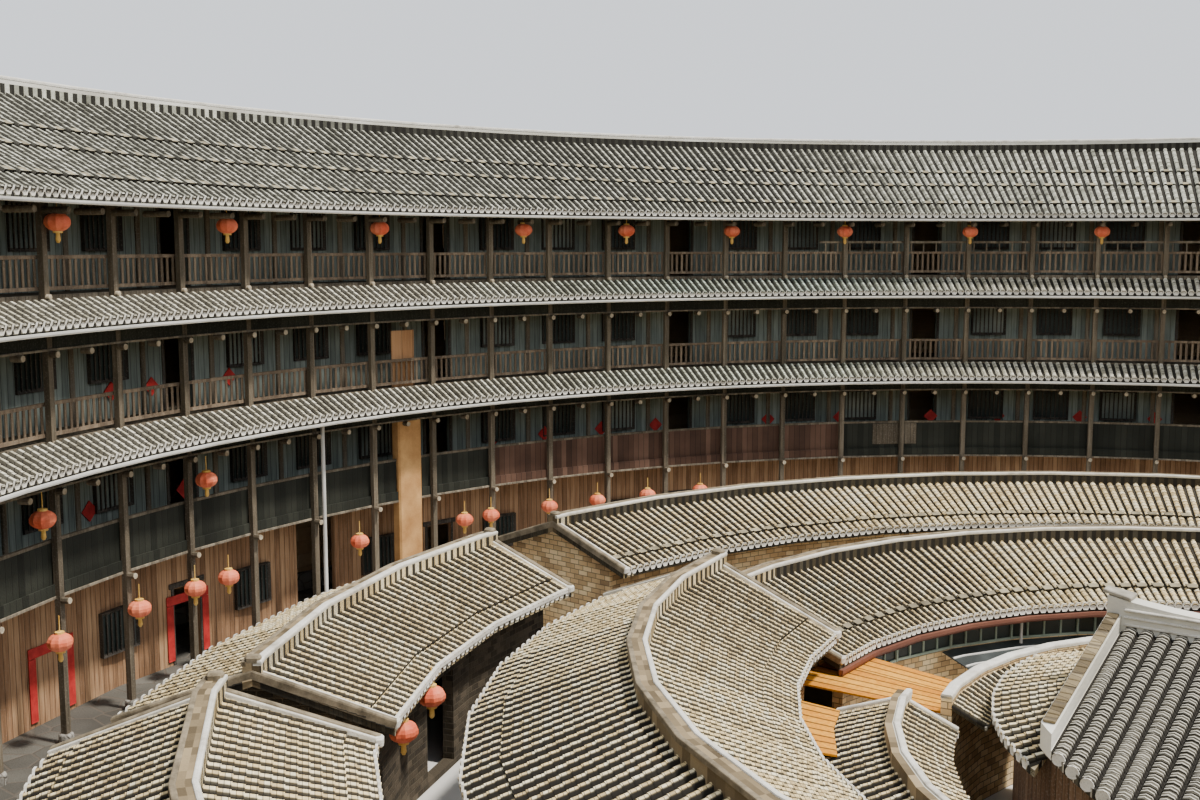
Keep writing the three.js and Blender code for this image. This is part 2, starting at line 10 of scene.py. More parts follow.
import bpy
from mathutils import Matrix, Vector


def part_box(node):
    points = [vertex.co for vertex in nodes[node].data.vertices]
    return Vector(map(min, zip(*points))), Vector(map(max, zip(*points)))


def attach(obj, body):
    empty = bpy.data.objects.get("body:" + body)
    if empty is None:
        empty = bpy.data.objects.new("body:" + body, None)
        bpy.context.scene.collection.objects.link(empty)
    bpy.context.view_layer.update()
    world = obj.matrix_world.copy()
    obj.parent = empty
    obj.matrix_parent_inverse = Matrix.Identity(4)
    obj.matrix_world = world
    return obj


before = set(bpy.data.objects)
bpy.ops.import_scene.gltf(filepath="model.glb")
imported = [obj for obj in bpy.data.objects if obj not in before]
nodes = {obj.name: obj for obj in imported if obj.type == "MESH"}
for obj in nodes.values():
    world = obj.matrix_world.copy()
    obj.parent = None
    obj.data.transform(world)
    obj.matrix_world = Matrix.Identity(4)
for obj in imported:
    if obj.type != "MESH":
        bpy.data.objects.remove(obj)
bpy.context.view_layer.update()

# %% [markdown]
# The solids are a 1:2 model. Real sizes are easier to check against the real house, so everything
# here is modelled at full size, in metres, and halved about the origin when it is finished. The
# origin is the middle of the outer ring, on the ground, with the main gate towards -Y.

# %% Driving sizes, in metres on the real house
HALF = 0.5  # the model's scale
BAYS = 72
BAY = 360 / BAYS
FRONT = -90  # bearing of the main gate, counter-clockwise from +X
DECKS = {1: 0.15, 2: 3.7, 3: 6.8, 4: 9.9}
POST_R = 25.6
DECK_EDGE = 25.68
RAIL_R = DECK_EDGE + 0.06
ROOM_FRONT_R = 27.0


def real_box(node):
    """The lowest and highest corners of a solid, at full size."""
    low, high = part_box(node)
    return low / HALF, high / HALF


def point(radius, bearing, height):
    """A place given by its radius, its bearing in degrees and its height."""
    turn = math.radians(bearing)
    return Vector((radius * math.cos(turn), radius * math.sin(turn), height))


print("eaves to eaves", round(real_box("main_roof_outer")[1].x * 2, 2), "m")

# %% [markdown]
# ## Camera
# The photograph was taken from the fourth gallery, just above the main gate, with a lens of about
# 39 mm on a full-frame camera. The camera is set first, so that every piece can be compared with
# the photograph as soon as it is made.

# %% Camera at the photograph's place
CAMERA_PLACE = Vector((2.137, -24.427, 10.92))
CAMERA_PITCH = 83.25
CAMERA_TURN = 37.34
bpy.ops.object.select_all(action="DESELECT")
bpy.ops.object.camera_add(
    location=CAMERA_PLACE * HALF,
    rotation=(math.radians(CAMERA_PITCH), 0, math.radians(CAMERA_TURN)),
)
camera = bpy.context.object
camera.name = "gallery_camera"
camera.data.lens = 39.0
camera.data.sensor_width = 36.0
camera.data.clip_end = 200
bpy.context.scene.camera = camera
print("camera at", tuple(round(v, 2) for v in camera.location))

# %% [markdown]
# ## Light and floor
# A plain studio: a pale floor, an even pale sky and one broad soft sun. A sun with a wide angle
# keeps the shadows of the eaves soft, and still shows each row of tiles.

# %% Sky, sun and floor
world = bpy.data.worlds.new("pale_sky")
bpy.context.scene.world = world
world.use_nodes = True
world.node_tree.nodes["Background"].inputs["Color"].default_value = (0.9, 0.94, 1.0, 1)
world.node_tree.nodes["Background"].inputs["Strength"].default_value = 1.3

bpy.ops.object.light_add(
    type="SUN",
    location=(6, -6, 20),
    rotation=(math.radians(28), 0, math.radians(105)),
)
sun = bpy.context.object
sun.name = "soft_sun"
sun.data.energy = 5.8
sun.data.angle = math.radians(5)
sun.data.color = (1.0, 0.95, 0.87)

FLOOR_SIZE = 160
bpy.ops.mesh.primitive_plane_add(size=FLOOR_SIZE, location=(0, 0, -0.004))
floor = bpy.context.object
floor.name = "studio_floor"
floor_finish = bpy.data.materials.new("pale_floor")
floor_finish.use_nodes = True
floor_shader = floor_finish.node_tree.nodes["Principled BSDF"]
floor_shader.inputs["Base Color"].default_value = (0.62, 0.61, 0.58, 1)
floor_shader.inputs["Roughness"].default_value = 0.9
floor.data.materials.append(floor_finish)
print("floor and lights are in place")

# %% [markdown]
# ## Working by hand
# Each piece starts from a primitive that is shaped in edit mode. These few helpers do what the
# hand does between operators: deselect, pick points by their place, apply a modifier, repeat a
# piece round the middle of the house, and put a finished piece away.


# %% Helpers for picking
def deselect():
    bpy.ops.object.select_all(action="DESELECT")


def take(piece):
    """Makes one piece the selected and active one."""
    deselect()
    piece.select_set(True)
    bpy.context.view_layer.objects.active = piece
    return piece


def settle(piece):
    """Moves a piece's place, turn and scale into its mesh."""
    take(piece)
    bpy.ops.object.transform_apply(location=True, rotation=True, scale=True)
    return piece


def pick(piece, test):
    """Enters edit mode with only the points selected that the test accepts."""
    take(piece)
    for vertex in piece.data.vertices:
        vertex.select = bool(test(vertex.co))
    for edge in piece.data.edges:
        edge.select = False
    for face in piece.data.polygons:
        face.select = False
    bpy.ops.object.mode_set(mode="EDIT")
    bpy.ops.mesh.select_mode(type="VERT")


def done():
    bpy.ops.object.mode_set(mode="OBJECT")


print("ready: take, settle and pick")


# %% Helpers for applying, copying and joining
def apply(piece, modifier):
    take(piece)
    bpy.ops.object.modifier_apply(modifier=modifier.name)
    return piece


def copy_of(piece):
    """A copy with its own mesh."""
    twin = piece.copy()
    twin.data = piece.data.copy()
    bpy.context.scene.collection.objects.link(twin)
    return twin


def join(pieces):
    """Joins several pieces into the first."""
    deselect()
    for piece in pieces:
        piece.select_set(True)
    bpy.context.view_layer.objects.active = pieces[0]
    bpy.ops.object.join()
    return pieces[0]


print("ready: apply, copy and join")


# %% Helpers for repeating
def in_line(piece, copies, step):
    """Repeats a piece along a straight step."""
    array = piece.modifiers.new("line", "ARRAY")
    array.count = copies
    array.use_relative_offset = False
    array.use_constant_offset = True
    array.constant_offset_displace = step
    return apply(piece, array)


def around(piece, copies, step, start=0.0, centre_y=0.0):
    """Repeats a piece round the middle, a step of degrees apart, and moves the middle to its Y."""
    settle(piece)
    piece.rotation_euler = (0, 0, math.radians(start))
    settle(piece)
    if copies > 1:
        deselect()
        bpy.ops.object.empty_add(rotation=(0, 0, math.radians(step)))
        turn = bpy.context.object
        array = piece.modifiers.new("round", "ARRAY")
        array.count = copies
        array.use_relative_offset = False
        array.use_object_offset = True
        array.offset_object = turn
        apply(piece, array)
        bpy.data.objects.remove(turn)
    piece.location.y = centre_y
    return settle(piece)


print("one bay is", BAY, "degrees of the ring")

# %% Helper for finished pieces
all_pieces = []


def put_away(piece, name, finish):
    """Halves a finished piece, names it, gives it its finish and lets it ride on the house."""
    settle(piece)
    piece.scale = (HALF, HALF, HALF)
    settle(piece)
    piece.name = name
    piece.data.name = name
    piece.data.materials.clear()
    piece.data.materials.append(finish)
    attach(piece, "root")
    all_pieces.append(piece)
    triangles = sum(len(face.vertices) - 2 for face in piece.data.polygons)
    print(f"{name}: {triangles} triangles")
    return piece


# %% [markdown]
# ## Shared effects
# Clay, wood, lime and earth all weather in the same way: large soft stains, small grains and a
# pattern of their own parts. Each effect is a node group with named sockets, built once. A group
# puts out masks and values, and the shader stays in each material.


# %% Helpers for node groups and maths
def new_group(name, inputs, outputs):
    """An empty node group with float inputs {name: default} and outputs [name]."""
    group = bpy.data.node_groups.new(name, "ShaderNodeTree")
    for title, default in inputs.items():
        socket = group.interface.new_socket(title, in_out="INPUT", socket_type="NodeSocketFloat")
        socket.default_value = default
    for title in outputs:
        group.interface.new_socket(title, in_out="OUTPUT", socket_type="NodeSocketFloat")
    return group, group.nodes.new("NodeGroupInput"), group.nodes.new("NodeGroupOutput")


def wire(tree, value, socket):
    """Links an output to a socket, or sets the socket to a number."""
    if isinstance(value, bpy.types.NodeSocket):
        tree.links.new(value, socket)
    else:
        socket.default_value = value


def calc(tree, operation, first, second=0.0, third=0.0):
    """One Math node, and its result."""
    node = tree.nodes.new("ShaderNodeMath")
    node.operation = operation
    wire(tree, first, node.inputs[0])
    wire(tree, second, node.inputs[1])
    wire(tree, third, node.inputs[2])
    return node.outputs[0]


def inverse(tree, value):
    """One minus a value."""
    return calc(tree, "SUBTRACT", 1.0, value)


def both(tree, first, second):
    """A mask of the places that two masks share."""
    return calc(tree, "MULTIPLY", first, second)


def weighed(tree, *parts):
    """Adds up values, each times its share."""
    total = 0.0
    for value, share in parts:
        total = calc(tree, "MULTIPLY_ADD", value, share, total)
    return total


def off_middle(tree, value):
    """How far a place is from the middle of its cell, in cells."""
    return calc(tree, "ABSOLUTE", calc(tree, "SUBTRACT", calc(tree, "FRACT", value), 0.5))


def put_out(group, result, **values):
    """Links values to the outputs of a group."""
    for title, value in values.items():
        group.links.new(value, result.inputs[title])


print("ready: node groups and maths")


# %% Helpers for places, noise and chance
def real_place(tree):
    """Object coordinates in metres on the real house, as a vector and its three parts."""
    coordinates = tree.nodes.new("ShaderNodeTexCoord")
    full = tree.nodes.new("ShaderNodeVectorMath")
    full.operation = "SCALE"
    full.inputs["Scale"].default_value = 1 / HALF
    tree.links.new(coordinates.outputs["Object"], full.inputs[0])
    parts = tree.nodes.new("ShaderNodeSeparateXYZ")
    tree.links.new(full.outputs["Vector"], parts.inputs[0])
    return full.outputs["Vector"], parts.outputs[0], parts.outputs[1], parts.outputs[2]


def vector_of(tree, x, y, z=0.0):
    node = tree.nodes.new("ShaderNodeCombineXYZ")
    wire(tree, x, node.inputs[0])
    wire(tree, y, node.inputs[1])
    wire(tree, z, node.inputs[2])
    return node.outputs[0]


def noise(tree, vector, scale, detail=3.0):
    node = tree.nodes.new("ShaderNodeTexNoise")
    tree.links.new(vector, node.inputs["Vector"])
    wire(tree, scale, node.inputs["Scale"])
    node.inputs["Detail"].default_value = detail
    return node.outputs["Fac"]


def chance(tree, vector):
    """A value from 0 to 1 that is the same all over one cell."""
    node = tree.nodes.new("ShaderNodeTexWhiteNoise")
    node.noise_dimensions = "3D"
    tree.links.new(vector, node.inputs["Vector"])
    return node.outputs["Value"]


print("ready: places, noise and chance")

# %% [markdown]
# A tile is known by the number of its row and of its course. On a ring roof the rows are counted
# round the middle and the courses up each slope. A picture of tiles would be stretched towards the
# rim, and numbers that are worked out from the place are not. The roof's flat facets are allowed
# for, so that the cells meet the modelled tiles all along a facet.

# %% Node group for tiles on a ring roof
TILE_OUTPUTS = ["Tile", "Row", "Across", "Along", "Past"]


def put_out_tiles(group, result, row, course, side, pitch):
    """Puts out the chance values of a tile and of its row, and the place across and along it."""
    row_number = calc(group, "FLOOR", row)
    course_number = calc(group, "FLOOR", calc(group, "ADD", course, 0.02))
    put_out(
        group,
        result,
        Tile=chance(group, vector_of(group, row_number, course_number, side)),
        Row=chance(group, vector_of(group, row_number, side, 7.0)),
        Across=both(group, off_middle(group, row), pitch),
        Along=inverse(group, calc(group, "FRACT", course)),
    )


def ring_cells_group():
    """Splits a ring roof into tiles: rows round the middle, courses up each slope."""
    group, given, result = new_group(
        "ring tile cells",
        {
            "Rows": 648.0,
            "Ridge radius": 29.07,
            "Inner run": 4.37,
            "Outer run": 4.37,
            "Inner courses": 30.0,
            "Outer courses": 30.0,
            "Centre Y": 0.0,
            "Facets": 36.0,
        },
        TILE_OUTPUTS,
    )
    _, x, y, _ = real_place(group)
    y = calc(group, "SUBTRACT", y, given.outputs["Centre Y"])
    turns = calc(group, "ADD", calc(group, "DIVIDE", calc(group, "ARCTAN2", y, x), 2 * math.pi), 1.0)
    row = both(group, turns, given.outputs["Rows"])
    squares = calc(group, "MULTIPLY_ADD", x, x, both(group, y, y))
    radius = calc(group, "SQRT", squares)
    facet = calc(group, "MULTIPLY_ADD", turns, given.outputs["Facets"], 0.5)
    aside = calc(group, "SUBTRACT", calc(group, "FRACT", facet), 0.5)
    width = calc(group, "DIVIDE", 2 * math.pi, given.outputs["Facets"])
    flat = calc(group, "COSINE", both(group, aside, width))
    corner = calc(group, "COSINE", both(group, width, 0.5))
    radius = calc(group, "DIVIDE", both(group, radius, flat), corner)
    past = calc(group, "SUBTRACT", radius, given.outputs["Ridge radius"])
    outside = calc(group, "GREATER_THAN", past, 0.0)
    inner = calc(group, "DIVIDE", given.outputs["Inner courses"], given.outputs["Inner run"])
    outer = calc(group, "DIVIDE", given.outputs["Outer courses"], given.outputs["Outer run"])
    difference = calc(group, "SUBTRACT", outer, inner)
    per_metre = calc(group, "MULTIPLY_ADD", outside, difference, inner)
    course = both(group, calc(group, "ABSOLUTE", past), per_metre)
    pitch = calc(group, "DIVIDE", both(group, radius, 2 * math.pi), given.outputs["Rows"])
    put_out_tiles(group, result, row, course, outside, pitch)
    put_out(group, result, Past=past)
    return group


ring_tiles = ring_cells_group()
print("ring tiles:", len(ring_tiles.nodes), "nodes")


# %% Node group for tiles on the straight hall roof
def hall_cells_group():
    """Splits a gabled roof into tiles: rows across X, courses down both slopes in Y."""
    group, given, result = new_group(
        "hall tile cells",
        {"Row width": 0.28, "Ridge Y": -0.9, "Course run": 0.16, "Rib X": 4.09},
        TILE_OUTPUTS,
    )
    _, x, y, _ = real_place(group)
    row = calc(group, "ADD", calc(group, "DIVIDE", x, given.outputs["Row width"]), 100.5)
    past = calc(group, "SUBTRACT", y, given.outputs["Ridge Y"])
    side = calc(group, "GREATER_THAN", past, 0.0)
    course = calc(group, "DIVIDE", calc(group, "ABSOLUTE", past), given.outputs["Course run"])
    put_out_tiles(group, result, row, course, side, given.outputs["Row width"])
    rib = calc(group, "GREATER_THAN", calc(group, "ABSOLUTE", x), given.outputs["Rib X"])
    put_out(group, result, Past=both(group, past, inverse(group, rib)))
    return group


hall_tiles = hall_cells_group()
print("hall tiles:", len(hall_tiles.nodes), "nodes")


# %% Node group for weather
def weather_group():
    """Soft stains and fine grain, both from 0 to 1."""
    group, given, result = new_group(
        "weather", {"Stain size": 2.0, "Grain size": 0.05}, ["Stain", "Grain"]
    )
    vector = real_place(group)[0]
    stain = noise(group, vector, calc(group, "DIVIDE", 1.0, given.outputs["Stain size"]), 4.0)
    grain = noise(group, vector, calc(group, "DIVIDE", 1.0, given.outputs["Grain size"]))
    spread = group.nodes.new("ShaderNodeMapRange")
    spread.inputs["From Min"].default_value = 0.3
    spread.inputs["From Max"].default_value = 0.7
    group.links.new(stain, spread.inputs["Value"])
    put_out(group, result, Stain=spread.outputs["Result"], Grain=grain)
    return group


weather = weather_group()
print("weather:", len(weather.nodes), "nodes")

# %% [markdown]
# ## Roof tiles
# Fired clay tiles vary from one to the next, so each tile gets its own tone from its row and its
# course. The lower edge of a tile gets a painted highlight, and moss and soot darken whole patches.
# The same cells drive the colour of the rows made below, so the tones change where the tiles do.


# %% Helpers for materials
def new_finish(name, roughness=0.85):
    """A material with its shader, ready for colour and bump."""
    finish = bpy.data.materials.new(name)
    finish.use_nodes = True
    shader = finish.node_tree.nodes["Principled BSDF"]
    shader.inputs["Roughness"].default_value = roughness
    shader.inputs["Specular IOR Level"].default_value = 0.25
    return finish, finish.node_tree, shader


def place_group(tree, group, **values):
    """A copy of a node group in a material, with its own values."""
    node = tree.nodes.new("ShaderNodeGroup")
    node.node_tree = group
    for title, value in values.items():
        node.inputs[title.replace("_", " ")].default_value = value
    return node


def ramp(tree, value, stops):
    """A colour ramp from [(place, colour)] stops."""
    node = tree.nodes.new("ShaderNodeValToRGB")
    wire(tree, value, node.inputs["Fac"])
    elements = node.color_ramp.elements
    while len(elements) < len(stops):
        elements.new(0.5)
    for element, (place, colour) in zip(elements, stops):
        element.position = place
        element.color = (*colour, 1)
    return node.outputs["Color"]


def blend_colour(tree, amount, first, second, way="MIX"):
    """Mixes two colours by a mask."""
    node = tree.nodes.new("ShaderNodeMix")
    node.data_type = "RGBA"
    node.blend_type = way
    wire(tree, amount, node.inputs["Factor"])
    colours = [socket for socket in node.inputs if socket.type == "RGBA"]
    for socket, colour in zip(colours, (first, second)):
        if isinstance(colour, bpy.types.NodeSocket):
            tree.links.new(colour, socket)
        else:
            socket.default_value = (*colour, 1)
    return [socket for socket in node.outputs if socket.type == "RGBA"][0]


def cover(tree, colour, mask, strength, other):
    """Covers a colour with another by a mask, at most by a strength."""
    return blend_colour(tree, both(tree, mask, strength), colour, other)


def bump(tree, shader, height, strength, distance):
    """A bump of a real depth on a shader."""
    node = tree.nodes.new("ShaderNodeBump")
    node.inputs["Strength"].default_value = strength
    node.inputs["Distance"].default_value = distance * HALF
    tree.links.new(height, node.inputs["Height"])
    tree.links.new(node.outputs["Normal"], shader.inputs["Normal"])


def band(tree, value, low, high):
    """A soft step from 0 below low to 1 above high."""
    node = tree.nodes.new("ShaderNodeMapRange")
    node.interpolation_type = "SMOOTHSTEP"
    wire(tree, value, node.inputs["Value"])
    node.inputs["From Min"].default_value = low
    node.inputs["From Max"].default_value = high
    return node.outputs["Result"]


print("ready: finishes, ramps, bands and bump")

# %% Tones and bands of the tiles
GREY_TILES = [(0.0, (0.12, 0.12, 0.092)), (0.45, (0.44, 0.44, 0.35)), (1.0, (0.92, 0.92, 0.78))]
TAN_TILES = [(0.0, (0.3, 0.21, 0.1)), (0.45, (0.86, 0.67, 0.35)), (1.0, (1.0, 0.94, 0.7))]
DARK_TILES = [(0.0, (0.024, 0.022, 0.016)), (0.5, (0.07, 0.063, 0.046)), (1.0, (0.16, 0.145, 0.11))]
PAINTED_SHADE_SIDE = (0.45, -0.89, 0.0)  # the side of the rows that gets painted shade, away from the midday sun
# painted shade in the gaps, under the courses and on the shaded sides of the rows
PAINTED_SHADE_COLOUR = (0.014, 0.012, 0.009)
# painted highlight on the lower edge of each course
PAINTED_HIGHLIGHT_COLOUR = (0.72, 0.68, 0.58)
UNDERSIDE = (0.045, 0.036, 0.028)  # the boards below the tiles
PAINTED_SHADE_END = (15.0, 22.0)  # the Y over which the skirts' painted shade fades out
PAINTED_HIGHLIGHT_BAND = (0.1, 0.25, 0.0)  # the band of a course's painted highlight, and how alike the edges are
UNDER_LIP = (0.83, 0.94)  # the part of a course that the next tile shades
ROW_SIDE = (0.37, 0.44)  # the part of a row's width where the painted shade of its side begins
PAINTED_SHADE_TURN = (0.36, 0.6)  # how far a face has to be turned to that side to get the painted shade
print("the middle tone of a tan tile is", TAN_TILES[1][1])

# %% [markdown]
# A tile's colour is put on in layers: the clay's own tone and grains, a bluish painted shade on a
# part of the skirts, a painted highlight on the lower edge, and painted shade under the next tile,
# between the rows and on the sides that are turned away from the sun. A ridge gets its lime last.
# Each layer is one mask and one colour, so any of them can be changed alone.


# %% Colour of a ridge
def ridge_colour(tree, colour, cell, stain, height, ridge):
    """Lime over a ridge's inner side, above a height, and plain clay tiles on its outer side."""
    half, low, reach = ridge
    past = cell.outputs["Past"]
    chalk = ramp(tree, stain, [(0, (0.45, 0.42, 0.34)), (1, (0.82, 0.8, 0.72))])
    clay = ramp(tree, cell.outputs["Row"], [(0, (0.09, 0.065, 0.035)), (1, (0.34, 0.26, 0.15))])
    limed = calc(tree, "LESS_THAN", past, reach)
    limed = both(tree, limed, calc(tree, "GREATER_THAN", height, low))
    over = calc(tree, "GREATER_THAN", past, 0.03 - half)
    side = blend_colour(tree, over, colour, clay)
    side = blend_colour(tree, limed, side, chalk)
    on_ridge = calc(tree, "LESS_THAN", calc(tree, "ABSOLUTE", past), half)
    return blend_colour(tree, on_ridge, colour, side)


print("ready: ridges")


# %% Tile finish
def tile_finish(
    name, cells, tones, values, width, edge=0.25, ridge=None, moss=0.94, pale=PAINTED_HIGHLIGHT_BAND, painted_shade=None
):
    """Clay tiles: a tone for each tile, painted highlights on the lower edges, painted shade on the sides
    and in the gaps.

    The width is the row's. The edge is the strength of the painted highlight on the lower edge of
    each course, and pale gives its band and how alike the edges are. The ridge is its half width,
    the height from which it is limed, and how far past its middle the lime goes. Moss is the
    strength of the painted shade on the sides that face away from the sun. The last argument is a
    bluish tint of painted shade over a part of the ring, from one Y on to another.
    """
    finish, tree, shader = new_finish(name)
    cell = place_group(tree, cells, **values)
    worn = place_group(tree, weather, Stain_size=3.0, Grain_size=0.06)
    tone = weighed(
        tree, (cell.outputs["Tile"], 0.6), (worn.outputs["Stain"], 0.25), (cell.outputs["Row"], 0.15)
    )
    colour = ramp(tree, tone, tones)
    grain = band(tree, worn.outputs["Grain"], 0.35, 0.65)
    speckles = ramp(tree, grain, [(0, (0.3,) * 3), (1, (1,) * 3)])
    colour = blend_colour(tree, 0.35, colour, speckles, "MULTIPLY")
    _, _, y, z = real_place(tree)
    # painted shade: a bluish tint over a part of the ring
    if painted_shade:
        tint, shade_start_y, shade_full_y = painted_shade
        patches = calc(tree, "MULTIPLY_ADD", worn.outputs["Stain"], 0.4, 0.6)
        shady = both(tree, band(tree, y, shade_start_y, shade_full_y), patches)
        shady = both(tree, shady, inverse(tree, band(tree, y, *PAINTED_SHADE_END)))
        colour = blend_colour(tree, shady, colour, tint, "MULTIPLY")
    # painted highlight: the lower edge of each course is made paler, as if lit
    lower = inverse(tree, band(tree, cell.outputs["Along"], *pale[:2]))
    alike = band(tree, cell.outputs["Tile"], 0.1 - pale[2], 0.9 - pale[2])
    colour = cover(tree, colour, both(tree, lower, alike), edge, PAINTED_HIGHLIGHT_COLOUR)
    # painted shade under the lip of the next course
    under = band(tree, cell.outputs["Along"], *UNDER_LIP)
    colour = cover(tree, colour, under, 0.88, PAINTED_SHADE_COLOUR)
    # painted shade on the sides of the rows and in the gaps between them
    between = band(tree, cell.outputs["Across"], *(width * part for part in ROW_SIDE))
    colour = cover(tree, colour, between, 0.97, PAINTED_SHADE_COLOUR)
    # painted shade on the sides of the rows that face away from the sun
    coordinates = tree.nodes.new("ShaderNodeTexCoord")
    towards = tree.nodes.new("ShaderNodeVectorMath")
    towards.operation = "DOT_PRODUCT"
    tree.links.new(coordinates.outputs["Normal"], towards.inputs[0])
    towards.inputs[1].default_value = PAINTED_SHADE_SIDE
    painted_side_shade = band(tree, towards.outputs["Value"], *PAINTED_SHADE_TURN)
    colour = cover(tree, colour, painted_side_shade, moss, PAINTED_SHADE_COLOUR)
    if ridge:
        colour = ridge_colour(tree, colour, cell, worn.outputs["Stain"], z, ridge)
    normal = tree.nodes.new("ShaderNodeSeparateXYZ")
    tree.links.new(coordinates.outputs["Normal"], normal.inputs[0])
    below = calc(tree, "LESS_THAN", normal.outputs[2], -0.3)
    colour = blend_colour(tree, below, colour, UNDERSIDE)
    tree.links.new(colour, shader.inputs["Base Color"])
    bump(tree, shader, worn.outputs["Grain"], 0.4, 0.02)
    return finish


print("ready: tile finishes")

# %% [markdown]
# Each row is made of half-round cover tiles. One tile is a tube of six or eight sides, cut in
# half, with its lower end lifted over the tile below and given a rim. The tile is repeated up the
# slope, the row is laid on the slope, and the row is repeated round the ring. Geometry is used for
# the courses, and not only bump, because their edges show against the sky and in the low light.

# %% One row of cover tiles
TILE_SINK = 0.03  # how far the rows reach into the roof slab, whose sides are flat facets
TILE_LIFT = 0.014  # how far the lower end of a tile stands over the tile below
TILE_RIM = 0.015  # how far its rim reaches down again
TIER_STEP = 0.04  # how much higher each new lift of tiles starts


def tile_row(width, height, course, courses, lift, sides):
    """A row of half-round tiles up +X, with its lower end at the origin."""
    deselect()
    bpy.ops.mesh.primitive_cylinder_add(
        vertices=sides,
        radius=width / 2,
        depth=course,
        end_fill_type="NOTHING",
        location=(course / 2, 0, 0),
        rotation=(0, math.radians(90), 0),
    )
    row = settle(bpy.context.object)
    round_top = max(vertex.co.z for vertex in row.data.vertices)
    pick(row, lambda place: place.z < -0.001)
    bpy.ops.mesh.delete(type="VERT")
    done()
    row.scale.z = height / round_top
    settle(row)
    pick(row, lambda place: place.x < 0.001)
    bpy.ops.transform.translate(value=(0, 0, lift))
    bpy.ops.mesh.extrude_region_move(TRANSFORM_OT_translate={"value": (0, 0, -lift - TILE_RIM)})
    done()
    take(row)
    bpy.ops.object.shade_smooth_by_angle(angle=math.radians(70))
    return in_line(row, courses, (course, 0, 0))


def lay_row(row, low_radius, low_height, slope, inward):
    """Lays a row on a slope with its lower end at a radius. An inward slope falls to the middle."""
    row.rotation_euler = (0, -slope, 0 if inward else math.pi)
    row.location = (low_radius, 0, low_height)
    return settle(row)


print("tile rows are", TILE_SINK, "m into the slab")

# %% [markdown]
# The rows of a roof are counted against the photograph: nine in each bay of the outer ring, and
# about the same width of row on the low roofs. The courses are a hand's breadth apart. The colour
# has all of them, and the modelled rows have the edge of every second or third, which is about
# what the eye can tell apart.

# %% Widths and facets of the rows
MAIN_SHARE = 0.7  # of a row's width in the pitch of the rows, at its narrow end
RING_SHARE = 0.8
ROW_HEIGHT = 0.095
ROWS_MAIN = 648
ROWS_RING_2 = 468
ROWS_RING_3 = 324
FULL_ROUND = 8  # the sides of the tube that a row is half of, where it shows close by
PLAIN_ROUND = 6


def facet_factor(bearing, facets):
    """How much closer to the middle a flat facet lies at a bearing than at its corners."""
    facet = 360 / facets
    aside = bearing - round(bearing / facet) * facet
    return math.cos(math.pi / facets) / math.cos(math.radians(aside))


def row_width(ends, rows):
    """The width of the rows of a slope, from the radii of its ends and the rows of a full ring."""
    share = MAIN_SHARE if rows == ROWS_MAIN else RING_SHARE
    return share * 2 * math.pi * min(ends) / rows


def on_facets(piece, bearing, facets, span):
    """Repeats a piece at the same place on each facet from a first to a last bearing."""
    facet = 360 / facets
    first = math.ceil((span[0] - bearing) / facet)
    last = math.floor((span[1] - bearing) / facet)
    return around(piece, last - first + 1, facet, first * facet + bearing)


print("rows of the main roof:", ROWS_MAIN, "and in one bay", ROWS_MAIN // BAYS)

# %% [markdown]
# A roofer lays a long slope in lifts, from the eave up, and each new lift starts a little higher.
# So one row is made of one to four lifts. The middle of a flat facet is closer to the house's middle
# than its corners, so the rows of one facet are modelled one by one, each with its own radii, and
# then each is repeated on every facet.


# %% Rows on one slope of a ring roof
def tiered_row(low_radius, ridge_radius, eave, ridge, width, courses, tiers, sides):
    """One row from the eave to the ridge at bearing 0. Each tier starts a little higher."""
    run = ridge_radius - low_radius
    inward = run > 0
    slope = math.atan2(ridge - eave, abs(run))
    course = math.hypot(run, ridge - eave) / courses
    starts = [round(share * courses) for share in tiers] + [courses]
    parts = []
    for number, (start, end) in enumerate(zip(starts, starts[1:])):
        row = tile_row(width, ROW_HEIGHT, course, end - start, TILE_LIFT, sides)
        raised = TIER_STEP if number else 0.0
        along = start * course * math.cos(slope)
        lay_row(
            row,
            low_radius + (along if inward else -along),
            eave + start * course * math.sin(slope) - TILE_SINK + raised,
            slope - math.atan2(raised, (end - start) * course),
            inward,
        )
        parts.append(row)
    return join(parts)


def ring_rows(
    ends, heights, rows, facets, span, courses, tiers=(0.0,), centre_y=0.0, sides=FULL_ROUND
):
    """Rows over one slope of a ring roof, from its eave and ridge (radii and heights)."""
    low_radius, ridge_radius = ends
    width = row_width(ends, rows)
    parts = []
    for number in range(rows // facets):
        bearing = (number + 0.5) * 360 / rows
        closer = facet_factor(bearing, facets)
        radii = (low_radius * closer, ridge_radius * closer)
        row = tiered_row(*radii, *heights, width, courses, tiers, sides)
        parts.append(on_facets(row, bearing, facets, span))
    whole = join(parts)
    whole.location.y = centre_y
    return settle(whole)


print("a new lift starts", TIER_STEP, "m higher")

# %% [markdown]
# The main roof is the largest: two slopes of grey tiles over galleries, rooms and wall, in four
# lifts. The outer slope faces away from the courts, so it has fewer and longer courses.

